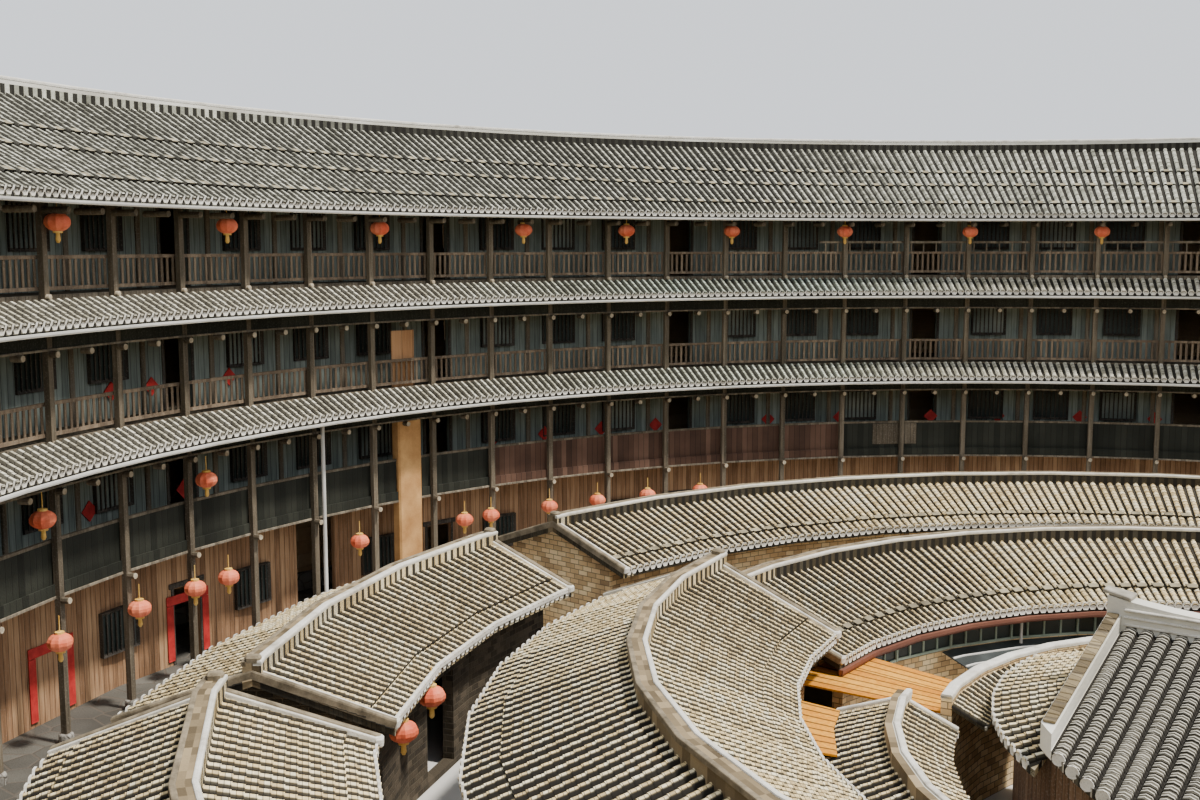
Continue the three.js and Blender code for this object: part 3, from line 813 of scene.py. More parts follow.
# %% Main roof rows
MAIN = {"inner": 24.7, "ridge": 29.07, "outer": 33.44, "eave": 11.98, "top": 14.5}
MAIN_COURSES = 15
OUTER_COURSES = 5
MAIN_TIERS = (0.0, 0.14, 0.4, 0.6)
main_values = {
    "Rows": ROWS_MAIN,
    "Ridge_radius": MAIN["ridge"],
    "Inner_run": MAIN["ridge"] - MAIN["inner"],
    "Outer_run": MAIN["outer"] - MAIN["ridge"],
    "Inner_courses": 3 * MAIN_COURSES,
    "Outer_courses": 3 * MAIN_COURSES,
    "Facets": BAYS,
}
MAIN_HEIGHTS = (MAIN["eave"], MAIN["top"])
main_width = row_width((MAIN["inner"], MAIN["ridge"]), ROWS_MAIN)
main_tiles = tile_finish(
    "main_roof_tiles", ring_tiles, GREY_TILES, main_values, main_width, ridge=(0.17, 14.69, 0.2)
)
for side, courses in (("inner", MAIN_COURSES), ("outer", OUTER_COURSES)):
    made = ring_rows(
        (MAIN[side], MAIN["ridge"]), MAIN_HEIGHTS, ROWS_MAIN, BAYS, (0, 360), courses, MAIN_TIERS,
        sides=PLAIN_ROUND,
    )
    put_away(made, f"main_roof_{side}_rows", main_tiles)

# %% [markdown]
# Below the third and the fourth deck a narrow skirt roof keeps the rain off the gallery under it.
# It is only a few courses deep, so the main roof's rows serve again, with other ends and heights.
# A bluish painted shade darkens its tiles over a part of the ring, and the upper skirt more than the lower
# one.

# %% Skirt roof rows
SKIRT = {"low": 24.7, "high": 25.52, "rise": 0.44, 3: 6.34, 4: 9.33}
skirt_values = dict(main_values, Ridge_radius=SKIRT["high"], Inner_run=0.82, Inner_courses=5)
SKIRT_TILES = [(0.0, (0.26, 0.24, 0.17)), (0.45, (0.64, 0.6, 0.46)), (1.0, (0.95, 0.92, 0.77))]
# tints of painted shade, bluish as a painted reflection of the sky
SKIRT_PAINTED_SHADE = {3: (0.85, 0.98, 0.98), 4: (0.56, 0.76, 0.8)}
PAINTED_SHADE_START = (2.0, 12.0)  # the Y over which the painted shade of the skirts begins
skirt_tiles = {}
for storey in (3, 4):
    skirt_tiles[storey] = tile_finish(
        f"skirt_tiles_{storey}", ring_tiles, SKIRT_TILES, skirt_values, main_width, 0.5,
        moss=0.9, painted_shade=(SKIRT_PAINTED_SHADE[storey], *PAINTED_SHADE_START),
    )
    heights = (SKIRT[storey], SKIRT[storey] + SKIRT["rise"])
    rows = ring_rows(
        (SKIRT["low"], SKIRT["high"]), heights, ROWS_MAIN, BAYS, (0, 360), 3, sides=PLAIN_ROUND
    )
    put_away(rows, f"skirt_roof_{storey}_rows", skirt_tiles[storey])

# %% [markdown]
# The two inner rings are low houses with gabled roofs of tan tiles, on 36 facets. Each stretch of
# a ring is given by the bearings of its ends and the heights of its eave and its ridge. Rows that
# face away, or that no view comes close to, are made of plainer tubes.

# %% Rows on the two rings of low houses
RING_2 = {"inner": 16.6, "ridge": 19.0, "outer": 21.4}
RING_2_PARTS = {
    "ring2_back": (3.5, 176.5, 2.85, 3.7),
    "ring2_left": (183.5, 216, 2.85, 3.7),
    "ring2_front": (223, 317, 3.4, 4.25),
    "ring2_right": (324, 356.5, 2.85, 3.7),
}
RING_3 = {"inner": 9.75, "ridge": 12.5, "outer": 15.35}
RING_3_PARTS = {
    "ring3_front": (184.7, 355.3, 2.95, 4.08),
    "ring3_back": (-4.3, 184.3, 2.35, 3.4),
}
RING_COURSES = {"ring2": (15, 15), "ring3": (17, 18)}
RING_FACETS = 36
SMOOTH_RIDGE = "ring2_left"  # the one whose ridge is limed all over its top
SMOOTH_REACH = -0.02  # how far from the middle of that ridge its lime ends


def house_ring(ring, parts, rows, courses, tiers):
    """Rows on both slopes of each stretch of a ring of houses."""
    values = {
        "Rows": rows,
        "Ridge_radius": ring["ridge"],
        "Inner_run": ring["ridge"] - ring["inner"],
        "Outer_run": ring["outer"] - ring["ridge"],
        "Inner_courses": 2 * courses[0],
        "Outer_courses": 2 * courses[1],
    }
    width = row_width((ring["inner"], ring["ridge"]), rows)
    for name, (start, end, eave, top) in parts.items():
        reach = SMOOTH_REACH if name == SMOOTH_RIDGE else -0.09
        finish = tile_finish(
            name + "_tiles", ring_tiles, TAN_TILES, values, width, ridge=(0.165, top + 0.22, reach)
        )
        nodes[name + "_roof"].material_slots[0].material = finish
        for side, count in (("inner", courses[0]), ("outer", courses[1])):
            radii = (ring[side], ring["ridge"])
            far = name in ("ring2_back", "ring3_back") and side == "outer"
            sides = PLAIN_ROUND if far or name == "ring2_right" else FULL_ROUND
            made = ring_rows(
                radii, (eave, top), rows, RING_FACETS, (start, end), count, tiers, sides=sides
            )
            put_away(made, f"{name}_{side}_rows", finish)


house_ring(RING_2, RING_2_PARTS, ROWS_RING_2, RING_COURSES["ring2"], (0.0, 0.2))
house_ring(RING_3, RING_3_PARTS, ROWS_RING_3, RING_COURSES["ring3"], (0.0, 0.22))

# %% [markdown]
# The slab of a roof shows in the gaps between its rows, as the pan tiles do on the real house. It
# gets the finish of its rows, whose cells paint shade into exactly those gaps.

# %% Finish of the roof slabs that show between the rows
for name in ("main_roof_inner", "main_roof_outer", "main_ridge"):
    nodes[name].material_slots[0].material = main_tiles
for storey, finish in skirt_tiles.items():
    nodes[f"skirt_roof_{storey}"].material_slots[0].material = finish
print("rows done on", len(all_pieces), "slopes")

# %% [markdown]
# ## Shapes that run round the house
# Gutters, ridge caps and rails follow the ring. Each is a flat section that is spun round the
# middle in edit mode, with corners that are chamfered first where a mason or a joiner would round
# them off. The steps are as short as the straight lengths of the real ones.


# %% Helper for strips round a centre
def cut(piece, bearing, keep_after):
    """Cuts a ring by the upright plane through the middle at a bearing."""
    across = math.radians(bearing + 90)
    pick(piece, lambda place: True)
    bpy.ops.mesh.bisect(
        plane_co=(0, 0, 0),
        plane_no=(math.cos(across), math.sin(across), 0),
        use_fill=True,
        clear_inner=keep_after,
        clear_outer=not keep_after,
    )
    done()


def strip(low, high, span=(0, 360), facets=72, chamfer=0.0, centre_y=0.0, rounded="top"):
    """A strip round the middle, from the low and high corners (radius, height) of its section."""
    start, end = span
    if 170 < end - start < 360:
        middle = (start + end) / 2
        halves = [
            strip(low, high, half, facets, chamfer, centre_y, rounded)
            for half in ((start, middle), (middle, end))
        ]
        return join(halves)
    deselect()
    width = high[0] - low[0]
    height = high[1] - low[1]
    bpy.ops.mesh.primitive_plane_add(
        size=1,
        location=(low[0] + width / 2, 0, low[1] + height / 2),
        rotation=(math.radians(90), 0, 0),
    )
    piece = bpy.context.object
    piece.scale = (width, height, 1)
    settle(piece)
    if chamfer:
        line = low[1] if rounded == "bottom" else high[1]
        pick(piece, lambda place: abs(place.z - line) < 0.001)
        bpy.ops.mesh.bevel(offset=chamfer, segments=2, affect="VERTICES")
        done()
    pick(piece, lambda place: True)
    bpy.ops.mesh.delete(type="ONLY_FACE")
    bpy.ops.mesh.select_all(action="SELECT")
    bpy.ops.mesh.spin(steps=facets, angle=2 * math.pi, center=(0, 0, 0), axis=(0, 0, 1))
    bpy.ops.mesh.select_all(action="SELECT")
    bpy.ops.mesh.remove_doubles(threshold=0.0005)
    bpy.ops.mesh.normals_make_consistent(inside=False)
    done()
    piece.rotation_euler.z = math.pi / facets
    settle(piece)
    if end - start < 360:
        cut(piece, start, True)
        cut(piece, end, False)
    piece.location.y = centre_y
    return settle(piece)


print("ready: strips round the middle")

# %% [markdown]
# Everything else starts from a block or a round rod. A block's edges are worn, and the sawn face
# of a rod gets a border. A piece could be drawn in its place on the ring, but it is shaped at
# bearing 0 and then turned, because its sides are square to the axes there and easy to pick.


# %% Helpers for blocks and rods
def block(size, place, chamfer=0.0):
    """A block of a size, centred on a place, with its edges chamfered."""
    deselect()
    bpy.ops.mesh.primitive_cube_add(size=1, location=place)
    piece = bpy.context.object
    piece.scale = size
    settle(piece)
    if chamfer:
        pick(piece, lambda place: True)
        bpy.ops.mesh.bevel(offset=chamfer, segments=1, affect="EDGES")
        done()
    return piece


def turned(piece, bearing):
    """Turns a finished piece from bearing 0 to its own bearing."""
    piece.rotation_euler.z = math.radians(bearing)
    return settle(piece)


AXIS_TURNS = {"X": (0, math.radians(90), 0), "Y": (math.radians(90), 0, 0), "Z": (0, 0, 0)}


def rod(sides, radius, length, place, axis="Z"):
    """A round rod along an axis, centred on a place."""
    deselect()
    bpy.ops.mesh.primitive_cylinder_add(
        vertices=sides,
        radius=radius,
        depth=length,
        location=place,
        rotation=AXIS_TURNS[axis],
    )
    return settle(bpy.context.object)


def sink(piece, test, border, move=(0, 0, 0)):
    """Gives the faces that a test accepts a border, and moves what is inside it."""
    pick(piece, test)
    bpy.ops.mesh.inset(thickness=border)
    bpy.ops.transform.translate(value=move)
    done()
    return piece


print("ready: blocks and rods along", *AXIS_TURNS)

# %% [markdown]
# ## Wood, lime, brick, earth and stone
# Boards and bricks share one idea: a place on the wall is cut into cells, each cell gets a chance
# value for its tone, and the joints between cells get a mask. On the round walls the place along
# the wall is the bearing times the radius, so the boards stand upright and keep their width.


# %% Node group for places on a round wall
FULL_ANGLE = 4.0  # radians added to each bearing, so that none is below zero


def round_place_group():
    """The place along a round wall in metres, its radius and its height."""
    group, given, result = new_group(
        "round place", {"Radius": 25.6, "Centre Y": 0.0}, ["Along", "Out", "Up"]
    )
    _, x, y, z = real_place(group)
    y = calc(group, "SUBTRACT", y, given.outputs["Centre Y"])
    angle = calc(group, "ADD", calc(group, "ARCTAN2", y, x), FULL_ANGLE)
    squares = calc(group, "MULTIPLY_ADD", x, x, both(group, y, y))
    put_out(
        group,
        result,
        Along=both(group, angle, given.outputs["Radius"]),
        Out=calc(group, "SQRT", squares),
        Up=z,
    )
    return group


round_place = round_place_group()
print("round places:", len(round_place.nodes), "nodes")


# %% Node groups for boards and bricks
def boards_group():
    """Boards side by side: a chance value for each, and a mask of the seams."""
    group, given, result = new_group(
        "boards", {"Place": 0.0, "Width": 0.16, "Gap": 0.012}, ["Board", "Seam"]
    )
    cells = calc(group, "DIVIDE", given.outputs["Place"], given.outputs["Width"])
    number = calc(group, "FLOOR", cells)
    put_out(group, result, Board=chance(group, vector_of(group, number, 3.0)))
    edge = calc(group, "SUBTRACT", 0.5, off_middle(group, cells))
    edge = both(group, edge, given.outputs["Width"])
    inside = calc(group, "DIVIDE", edge, given.outputs["Gap"])
    put_out(group, result, Seam=inverse(group, band(group, inside, 0.2, 1.0)))
    return group


def bricks_group():
    """Bricks in broken bond: a chance value for each, and a mask of the joints."""
    group, given, result = new_group(
        "bricks", {"Along": 0.0, "Up": 0.0, "Length": 0.3, "Height": 0.12}, ["Brick", "Joint"]
    )
    courses = calc(group, "DIVIDE", given.outputs["Up"], given.outputs["Height"])
    course = calc(group, "FLOOR", courses)
    shift = both(group, calc(group, "MODULO", course, 2.0), 0.5)
    cells = calc(group, "DIVIDE", given.outputs["Along"], given.outputs["Length"])
    cells = calc(group, "ADD", cells, shift)
    number = calc(group, "FLOOR", cells)
    masks = []
    for place, size in ((cells, "Length"), (courses, "Height")):
        edge = calc(group, "SUBTRACT", 0.5, off_middle(group, place))
        edge = both(group, edge, given.outputs[size])
        masks.append(inverse(group, band(group, edge, 0.004, 0.014)))
    put_out(
        group,
        result,
        Brick=chance(group, vector_of(group, number, course)),
        Joint=calc(group, "MAXIMUM", *masks),
    )
    return group


boards = boards_group()
bricks = bricks_group()
print("node groups:", [group.name for group in bpy.data.node_groups])


# %% [markdown]
# Old boards are stained, split along their fibres and dusty on top. The fibres are a noise that is
# drawn out along the board, and each board takes its own tone from the cells above.

# %% Wood finishes
ACROSS_FIBRES = 14.0  # how fine the fibres are, per metre
ALONG_FIBRES = 1.2


def wood_finish(name, tones, width=0.16, radius=POST_R, wear=0.3, seams=1.0, gap=0.012):
    """Weathered boards that stand side by side round the house."""
    finish, tree, shader = new_finish(name, 0.8)
    place = place_group(tree, round_place, Radius=radius)
    worn = place_group(tree, weather, Stain_size=1.6, Grain_size=0.04)
    cell = place_group(tree, boards, Width=width, Gap=gap)
    tree.links.new(place.outputs["Along"], cell.inputs["Place"])
    fibres = vector_of(
        tree,
        both(tree, place.outputs["Along"], ACROSS_FIBRES),
        both(tree, place.outputs["Out"], ACROSS_FIBRES),
        both(tree, place.outputs["Up"], ALONG_FIBRES),
    )
    fibre = noise(tree, fibres, 1.0, 4.0)
    tone = weighed(
        tree,
        (cell.outputs["Board"], 0.45),
        (band(tree, fibre, 0.3, 0.7), 0.3),
        (worn.outputs["Stain"], 0.25),
    )
    colour = ramp(tree, tone, tones)
    dust = band(tree, worn.outputs["Grain"], 0.5, 0.75)
    colour = cover(tree, colour, dust, wear, (0.42, 0.38, 0.32))
    colour = cover(tree, colour, cell.outputs["Seam"], 0.85 * seams, (0.01, 0.008, 0.006))
    tree.links.new(colour, shader.inputs["Base Color"])
    height = calc(tree, "MULTIPLY_ADD", cell.outputs["Seam"], -seams, fibre)
    bump(tree, shader, height, 0.5, 0.012)
    return finish


DARK_WOOD = [(0.0, (0.02, 0.017, 0.014)), (0.5, (0.05, 0.042, 0.034)), (1.0, (0.12, 0.10, 0.08))]
OLIVE_WOOD = [(0.0, (0.045, 0.037, 0.025)), (0.5, (0.12, 0.096, 0.065)), (1.0, (0.26, 0.215, 0.155))]
RAIL_WOOD = [(0.0, (0.06, 0.042, 0.027)), (0.5, (0.16, 0.115, 0.076)), (1.0, (0.33, 0.25, 0.17))]
GREY_WOOD = [(0.0, (0.06, 0.05, 0.035)), (0.5, (0.17, 0.14, 0.1)), (1.0, (0.34, 0.29, 0.21))]
BROWN_WOOD = [(0.0, (0.055, 0.03, 0.017)), (0.5, (0.14, 0.08, 0.045)), (1.0, (0.28, 0.175, 0.105))]
RED_WOOD = [(0.0, (0.04, 0.021, 0.014)), (0.5, (0.1, 0.052, 0.034)), (1.0, (0.2, 0.115, 0.078))]
GREEN_WOOD = [(0.0, (0.009, 0.01, 0.007)), (0.5, (0.02, 0.022, 0.016)), (1.0, (0.042, 0.044, 0.033))]
LOWER_WOOD = [(0.0, (0.13, 0.068, 0.035)), (0.5, (0.34, 0.19, 0.1)), (1.0, (0.6, 0.38, 0.21))]
# partly painted light: the room fronts' wood, made paler and grey-green for cool sky light in the shade
SHADE_TINTED_ROOM_WOOD = [(0.0, (0.1, 0.12, 0.108)), (0.5, (0.2, 0.235, 0.21)), (1.0, (0.36, 0.41, 0.36))]
ORANGE_WOOD = [(0.0, (0.4, 0.12, 0.006)), (0.5, (0.62, 0.24, 0.008)), (1.0, (0.85, 0.42, 0.05))]
FRESH_WOOD = [(0.0, (0.3, 0.14, 0.06)), (0.5, (0.46, 0.24, 0.11)), (1.0, (0.62, 0.36, 0.19))]

dark_timber = wood_finish("dark_timber", DARK_WOOD, wear=0.2, seams=0.0)
olive_timber = wood_finish("olive_timber", OLIVE_WOOD, wear=0.2, seams=0.0)
green_timber = wood_finish("green_timber", GREEN_WOOD, width=1.1, wear=0.1)
grey_timber = wood_finish("grey_timber", GREY_WOOD, wear=0.3, seams=0.0)
rail_timber = wood_finish("rail_timber", RAIL_WOOD, wear=0.3, seams=0.0)
brown_planks = wood_finish("brown_planks", BROWN_WOOD, width=0.18, radius=5.95)
orange_boards = wood_finish("orange_boards", ORANGE_WOOD, width=0.27, radius=9.0, wear=0.1, gap=0.045)
fresh_boards = wood_finish("fresh_boards", FRESH_WOOD, width=0.4, wear=0.1)
deck_boards = wood_finish("deck_boards", OLIVE_WOOD, width=0.22, radius=ROOM_FRONT_R)
room_planks = wood_finish("room_planks", SHADE_TINTED_ROOM_WOOD, width=0.19, radius=ROOM_FRONT_R, wear=0.1)
lower_planks = wood_finish("lower_planks", LOWER_WOOD, width=0.17, radius=ROOM_FRONT_R, wear=0.15)
print("wood finishes done, with", len(bpy.data.materials), "materials so far")


# %% [markdown]
# Lime mortar is pale where the rain runs off, and dark where it stands. Bricks and rammed earth
# share the boards' cells: a brick is a cell both along and up the wall, and the earth was rammed in
# lifts of about a forearm's length.

# %% Lime mortar
def lime_finish(name, tones):
    """Lime mortar: pale, with dark runs of rain and patches of moss."""
    finish, tree, shader = new_finish(name, 0.9)
    worn = place_group(tree, weather, Stain_size=1.2, Grain_size=0.05)
    fine = place_group(tree, weather, Stain_size=0.25, Grain_size=0.02)
    tone = weighed(tree, (worn.outputs["Stain"], 0.55), (fine.outputs["Stain"], 0.45))
    colour = ramp(tree, tone, tones)
    moss = band(tree, fine.outputs["Grain"], 0.55, 0.7)
    colour = cover(tree, colour, moss, 0.4, (0.16, 0.15, 0.11))
    tree.links.new(colour, shader.inputs["Base Color"])
    bump(tree, shader, worn.outputs["Grain"], 0.5, 0.015)
    return finish


LIME = [(0.0, (0.34, 0.31, 0.26)), (0.35, (0.62, 0.59, 0.52)), (1.0, (0.85, 0.83, 0.77))]
OLD_LIME = [(0.0, (0.17, 0.155, 0.125)), (0.5, (0.38, 0.35, 0.29)), (1.0, (0.66, 0.62, 0.54))]
lime = lime_finish("lime_mortar", LIME)
old_lime = lime_finish("old_lime_mortar", OLD_LIME)
print("lime:", lime.name, "and", old_lime.name)


# %% Brick
BRICK_LENGTH = 0.3
BRICK_HEIGHT = 0.13


def brick_finish(name, tones, radius, centre_y=0.0):
    """Sun-dried bricks round a wall, with pale joints worn back."""
    finish, tree, shader = new_finish(name, 0.92)
    place = place_group(tree, round_place, Radius=radius, Centre_Y=centre_y)
    along = calc(tree, "ADD", place.outputs["Along"], place.outputs["Out"])
    cell = place_group(tree, bricks, Length=BRICK_LENGTH, Height=BRICK_HEIGHT)
    tree.links.new(along, cell.inputs["Along"])
    tree.links.new(place.outputs["Up"], cell.inputs["Up"])
    worn = place_group(tree, weather, Stain_size=1.1, Grain_size=0.05)
    tone = weighed(tree, (cell.outputs["Brick"], 0.6), (worn.outputs["Stain"], 0.4))
    colour = ramp(tree, tone, tones)
    colour = cover(tree, colour, cell.outputs["Joint"], 0.8, (0.1, 0.08, 0.055))
    tree.links.new(colour, shader.inputs["Base Color"])
    height = calc(tree, "MULTIPLY_ADD", cell.outputs["Joint"], -1.0, worn.outputs["Grain"])
    bump(tree, shader, height, 0.6, 0.02)
    return finish


# the brick's own tones, raised as painted light to stand in for sun on gables this sun leaves in shade
PAINTED_SUNLIT_BRICK = [(0.0, (0.24, 0.15, 0.078)), (0.5, (0.74, 0.51, 0.26)), (1.0, (1.0, 0.82, 0.5))]
# painted shade: brick tones darkened for the alley wall, which stands in shade
PAINTED_SHADE_BRICK = [(0.0, (0.02, 0.016, 0.011)), (0.5, (0.055, 0.044, 0.03)), (1.0, (0.12, 0.095, 0.065))]
RIB_BRICK = [(0.0, (0.07, 0.052, 0.028)), (0.5, (0.19, 0.145, 0.08)), (1.0, (0.36, 0.29, 0.175))]
print("bricks are", BRICK_LENGTH, "by", BRICK_HEIGHT, "m with their joints")


# %% Rammed earth
def earth_finish():
    """Rammed earth in lifts, stained by rain below the eaves."""
    finish, tree, shader = new_finish("rammed_earth", 0.95)
    place = place_group(tree, round_place, Radius=31.0)
    lift = place_group(tree, boards, Width=0.42)
    tree.links.new(place.outputs["Up"], lift.inputs["Place"])
    worn = place_group(tree, weather, Stain_size=4.0, Grain_size=0.07)
    runs = vector_of(
        tree,
        both(tree, place.outputs["Along"], 1.6),
        0.0,
        both(tree, place.outputs["Up"], 0.12),
    )
    run = band(tree, noise(tree, runs, 1.0, 4.0), 0.4, 0.7)
    tone = weighed(
        tree, (lift.outputs["Board"], 0.2), (worn.outputs["Stain"], 0.5), (worn.outputs["Grain"], 0.3)
    )
    colour = ramp(tree, tone, [(0, (0.3, 0.19, 0.1)), (0.5, (0.5, 0.35, 0.2)), (1, (0.72, 0.56, 0.37))])
    high = band(tree, place.outputs["Up"], 4.0, 12.0)
    colour = cover(tree, colour, both(tree, run, high), 0.5, (0.24, 0.17, 0.1))
    colour = cover(tree, colour, lift.outputs["Seam"], 0.4, (0.26, 0.17, 0.09))
    tree.links.new(colour, shader.inputs["Base Color"])
    height = calc(tree, "MULTIPLY_ADD", lift.outputs["Seam"], -0.5, worn.outputs["Grain"])
    bump(tree, shader, height, 0.7, 0.03)
    return finish


rammed_earth = earth_finish()
print("earth:", rammed_earth.name)


# %% Stone in mortar
def stone_finish(name, size, tones):
    """Rough stones in mortar."""
    finish, tree, shader = new_finish(name, 0.9)
    vector = real_place(tree)[0]
    cells = []
    for feature in ("F1", "DISTANCE_TO_EDGE"):
        stones = tree.nodes.new("ShaderNodeTexVoronoi")
        stones.feature = feature
        stones.inputs["Scale"].default_value = 1 / size
        tree.links.new(vector, stones.inputs["Vector"])
        cells.append(stones)
    worn = place_group(tree, weather, Stain_size=1.5, Grain_size=0.05)
    shade = tree.nodes.new("ShaderNodeSeparateColor")
    tree.links.new(cells[0].outputs["Color"], shade.inputs["Color"])
    tone = weighed(tree, (shade.outputs["Red"], 0.6), (worn.outputs["Stain"], 0.4))
    colour = ramp(tree, tone, tones)
    edge = inverse(tree, band(tree, cells[1].outputs["Distance"], 0.01, 0.06))
    colour = cover(tree, colour, edge, 0.7, (0.12, 0.1, 0.08))
    tree.links.new(colour, shader.inputs["Base Color"])
    height = calc(tree, "MULTIPLY_ADD", edge, -0.8, worn.outputs["Grain"])
    bump(tree, shader, height, 0.6, 0.03)
    return finish


STONE = [(0.0, (0.14, 0.13, 0.115)), (0.5, (0.27, 0.255, 0.225)), (1.0, (0.45, 0.43, 0.39))]
footing_stone = stone_finish("footing_stone", 0.4, STONE)
# darker stone tones than the footing's, for the ground floor
DARK_FLOOR_STONE = [(0.0, (0.05, 0.045, 0.038)), (0.5, (0.1, 0.094, 0.08)), (1.0, (0.19, 0.18, 0.155))]
floor_stone = stone_finish("floor_stone", 0.7, DARK_FLOOR_STONE)
print("stone:", footing_stone.name, "and", floor_stone.name)


# %% Plain finishes with wear
def worn_finish(name, low, high, roughness=0.6, stain_size=0.6):
    """A painted, glazed or woven surface with soft wear."""
    finish, tree, shader = new_finish(name, roughness)
    worn = place_group(tree, weather, Stain_size=stain_size, Grain_size=0.03)
    tone = weighed(tree, (worn.outputs["Stain"], 0.6), (worn.outputs["Grain"], 0.4))
    tree.links.new(ramp(tree, tone, [(0.1, low), (0.9, high)]), shader.inputs["Base Color"])
    bump(tree, shader, worn.outputs["Grain"], 0.2, 0.004)
    return finish


red_timber = worn_finish("red_timber", (0.1, 0.02, 0.014), (0.3, 0.07, 0.045), 0.6, 0.8)
gutter_white = worn_finish("white_gutter", (0.52, 0.51, 0.47), (0.82, 0.81, 0.77), 0.5, 1.5)
gutter_brown = worn_finish("brown_gutter", (0.12, 0.045, 0.03), (0.24, 0.1, 0.065), 0.6, 1.5)
log_ends = worn_finish("log_ends", (0.27, 0.21, 0.14), (0.62, 0.54, 0.4), 0.85, 0.15)
red_cloth = worn_finish("red_cloth", (0.68, 0.085, 0.032), (0.98, 0.32, 0.17), 0.55, 0.5)
gold_paper = worn_finish("gold_paper", (0.6, 0.3, 0.05), (0.9, 0.62, 0.18), 0.5, 0.3)
red_paper = worn_finish("red_paper", (0.36, 0.02, 0.02), (0.66, 0.05, 0.045), 0.6, 0.2)
pale_panes = worn_finish("pale_panes", (0.06, 0.085, 0.08), (0.3, 0.33, 0.29), 0.35, 1.1)
dark_panes = worn_finish("dark_panes", (0.008, 0.014, 0.012), (0.05, 0.065, 0.06), 0.3, 1.1)
green_frames = worn_finish("green_frames", (0.2, 0.27, 0.22), (0.5, 0.6, 0.5), 0.6, 0.8)
sheet_dark = worn_finish("sheet_dark", (0.02, 0.024, 0.024), (0.08, 0.09, 0.088), 0.5, 0.6)
orange_earth = worn_finish("orange_earth", (0.33, 0.15, 0.05), (0.72, 0.42, 0.17), 0.95, 0.7)
print(len(bpy.data.materials), "materials")

# %% [markdown]
# ## Finishes of the solids
# Each solid of the model is given its finish here, by its name. The parapet is green-black in most
# bays and red-brown in those that were mended, which one mask of the bearing tells apart.


# %% Parapet finish
MENDED_BAYS = (137.5, 167.5)


def parapet_finish():
    """Upright planks, red-brown between two bearings and green-black elsewhere."""
    finish, tree, shader = new_finish("parapet_planks", 0.75)
    place = place_group(tree, round_place, Radius=RAIL_R + 0.02)
    worn = place_group(tree, weather, Stain_size=1.4, Grain_size=0.04)
    cell = place_group(tree, boards, Width=0.2)
    tree.links.new(place.outputs["Along"], cell.inputs["Place"])
    tone = weighed(tree, (cell.outputs["Board"], 0.55), (worn.outputs["Stain"], 0.45))
    bearing = calc(tree, "DIVIDE", place.outputs["Along"], RAIL_R + 0.02)
    start, end = (math.radians(side) + FULL_ANGLE for side in MENDED_BAYS)
    after = calc(tree, "GREATER_THAN", bearing, start)
    mended = both(tree, after, calc(tree, "LESS_THAN", bearing, end))
    colour = blend_colour(tree, mended, ramp(tree, tone, GREEN_WOOD), ramp(tree, tone, RED_WOOD))
    colour = cover(tree, colour, cell.outputs["Seam"], 0.8, (0.008, 0.006, 0.005))
    tree.links.new(colour, shader.inputs["Base Color"])
    height = calc(tree, "MULTIPLY_ADD", cell.outputs["Seam"], -1.0, worn.outputs["Grain"])
    bump(tree, shader, height, 0.5, 0.012)
    return finish


parapet_planks = parapet_finish()
print("parapet mended from", *MENDED_BAYS, "degrees")

# %% Finishes by name
ring2_brick = brick_finish("ring2_brick", PAINTED_SUNLIT_BRICK, RING_2["ridge"])
# the alley wall's brick is painted dark as shade
alley_brick = brick_finish("alley_brick", PAINTED_SHADE_BRICK, RING_2["ridge"])
ring3_brick = brick_finish("ring3_brick", PAINTED_SUNLIT_BRICK, RING_3["ridge"])
court_brick = brick_finish("court_brick", PAINTED_SUNLIT_BRICK, 7.0, centre_y=-0.9)
NODE_FINISHES = {
    "stone_footing": footing_stone,
    "earth_wall": rammed_earth,
    "ground_floor": floor_stone,
    "deck": deck_boards,
    "gallery_posts": olive_timber,
    "room_front_1": lower_planks,
    "room_front": room_planks,
    "parapet": parapet_planks,
    "railing": rail_timber,
    "ring2_left": alley_brick,
    "ring2": ring2_brick,
    "ring3": ring3_brick,
    "hall_walls": brown_planks,
    "court_wall": court_brick,
    "court_front_wall": court_brick,
    "court_cover": orange_boards,
}
for name, node in nodes.items():
    if "_roof" in name or name == "main_ridge":
        continue
    start = next(start for start in NODE_FINISHES if name.startswith(start))
    node.material_slots[0].material = NODE_FINISHES[start]
print("solids with a finish of their own:", sum("_roof" not in name for name in nodes))

# %% [markdown]
# ## Eaves
# The last cover tile of each row is closed with a round clay end, bedded in lime, which makes the
# pale scalloped line of every eave. Each is a short rod with a sunk face. A bump could not make
# them, because they stand out against the dark below the eave. A gutter hangs just below them, and
# is a flat section with a rounded bottom that is spun round the house.


# %% Tile ends along a ring eave
def tile_ends(radius, height, rows, facets, span, inward, size=0.105, centre_y=0.0):
    """Round ends of the rows at an eave, with a raised rim, from a first to a last bearing."""
    outward = -1 if inward else 1
    parts = []
    for number in range(rows // facets):
        bearing = (number + 0.5) * 360 / rows
        closer = radius * facet_factor(bearing, facets)
        end = rod(6, size, 0.04, (closer, 0, height), "X")
        sunk = (-0.012 * outward, 0, 0)
        sink(end, lambda place: (place.x - closer) * outward > 0.01, 0.2 * size, sunk)
        pick(end, lambda place: (place.x - closer) * outward < -0.01)
        bpy.ops.mesh.delete(type="ONLY_FACE")
        done()
        parts.append(on_facets(end, bearing, facets, span))
    whole = join(parts)
    whole.location.y = centre_y
    return settle(whole)


print("one end closes each of", ROWS_MAIN, "rows of the main roof")

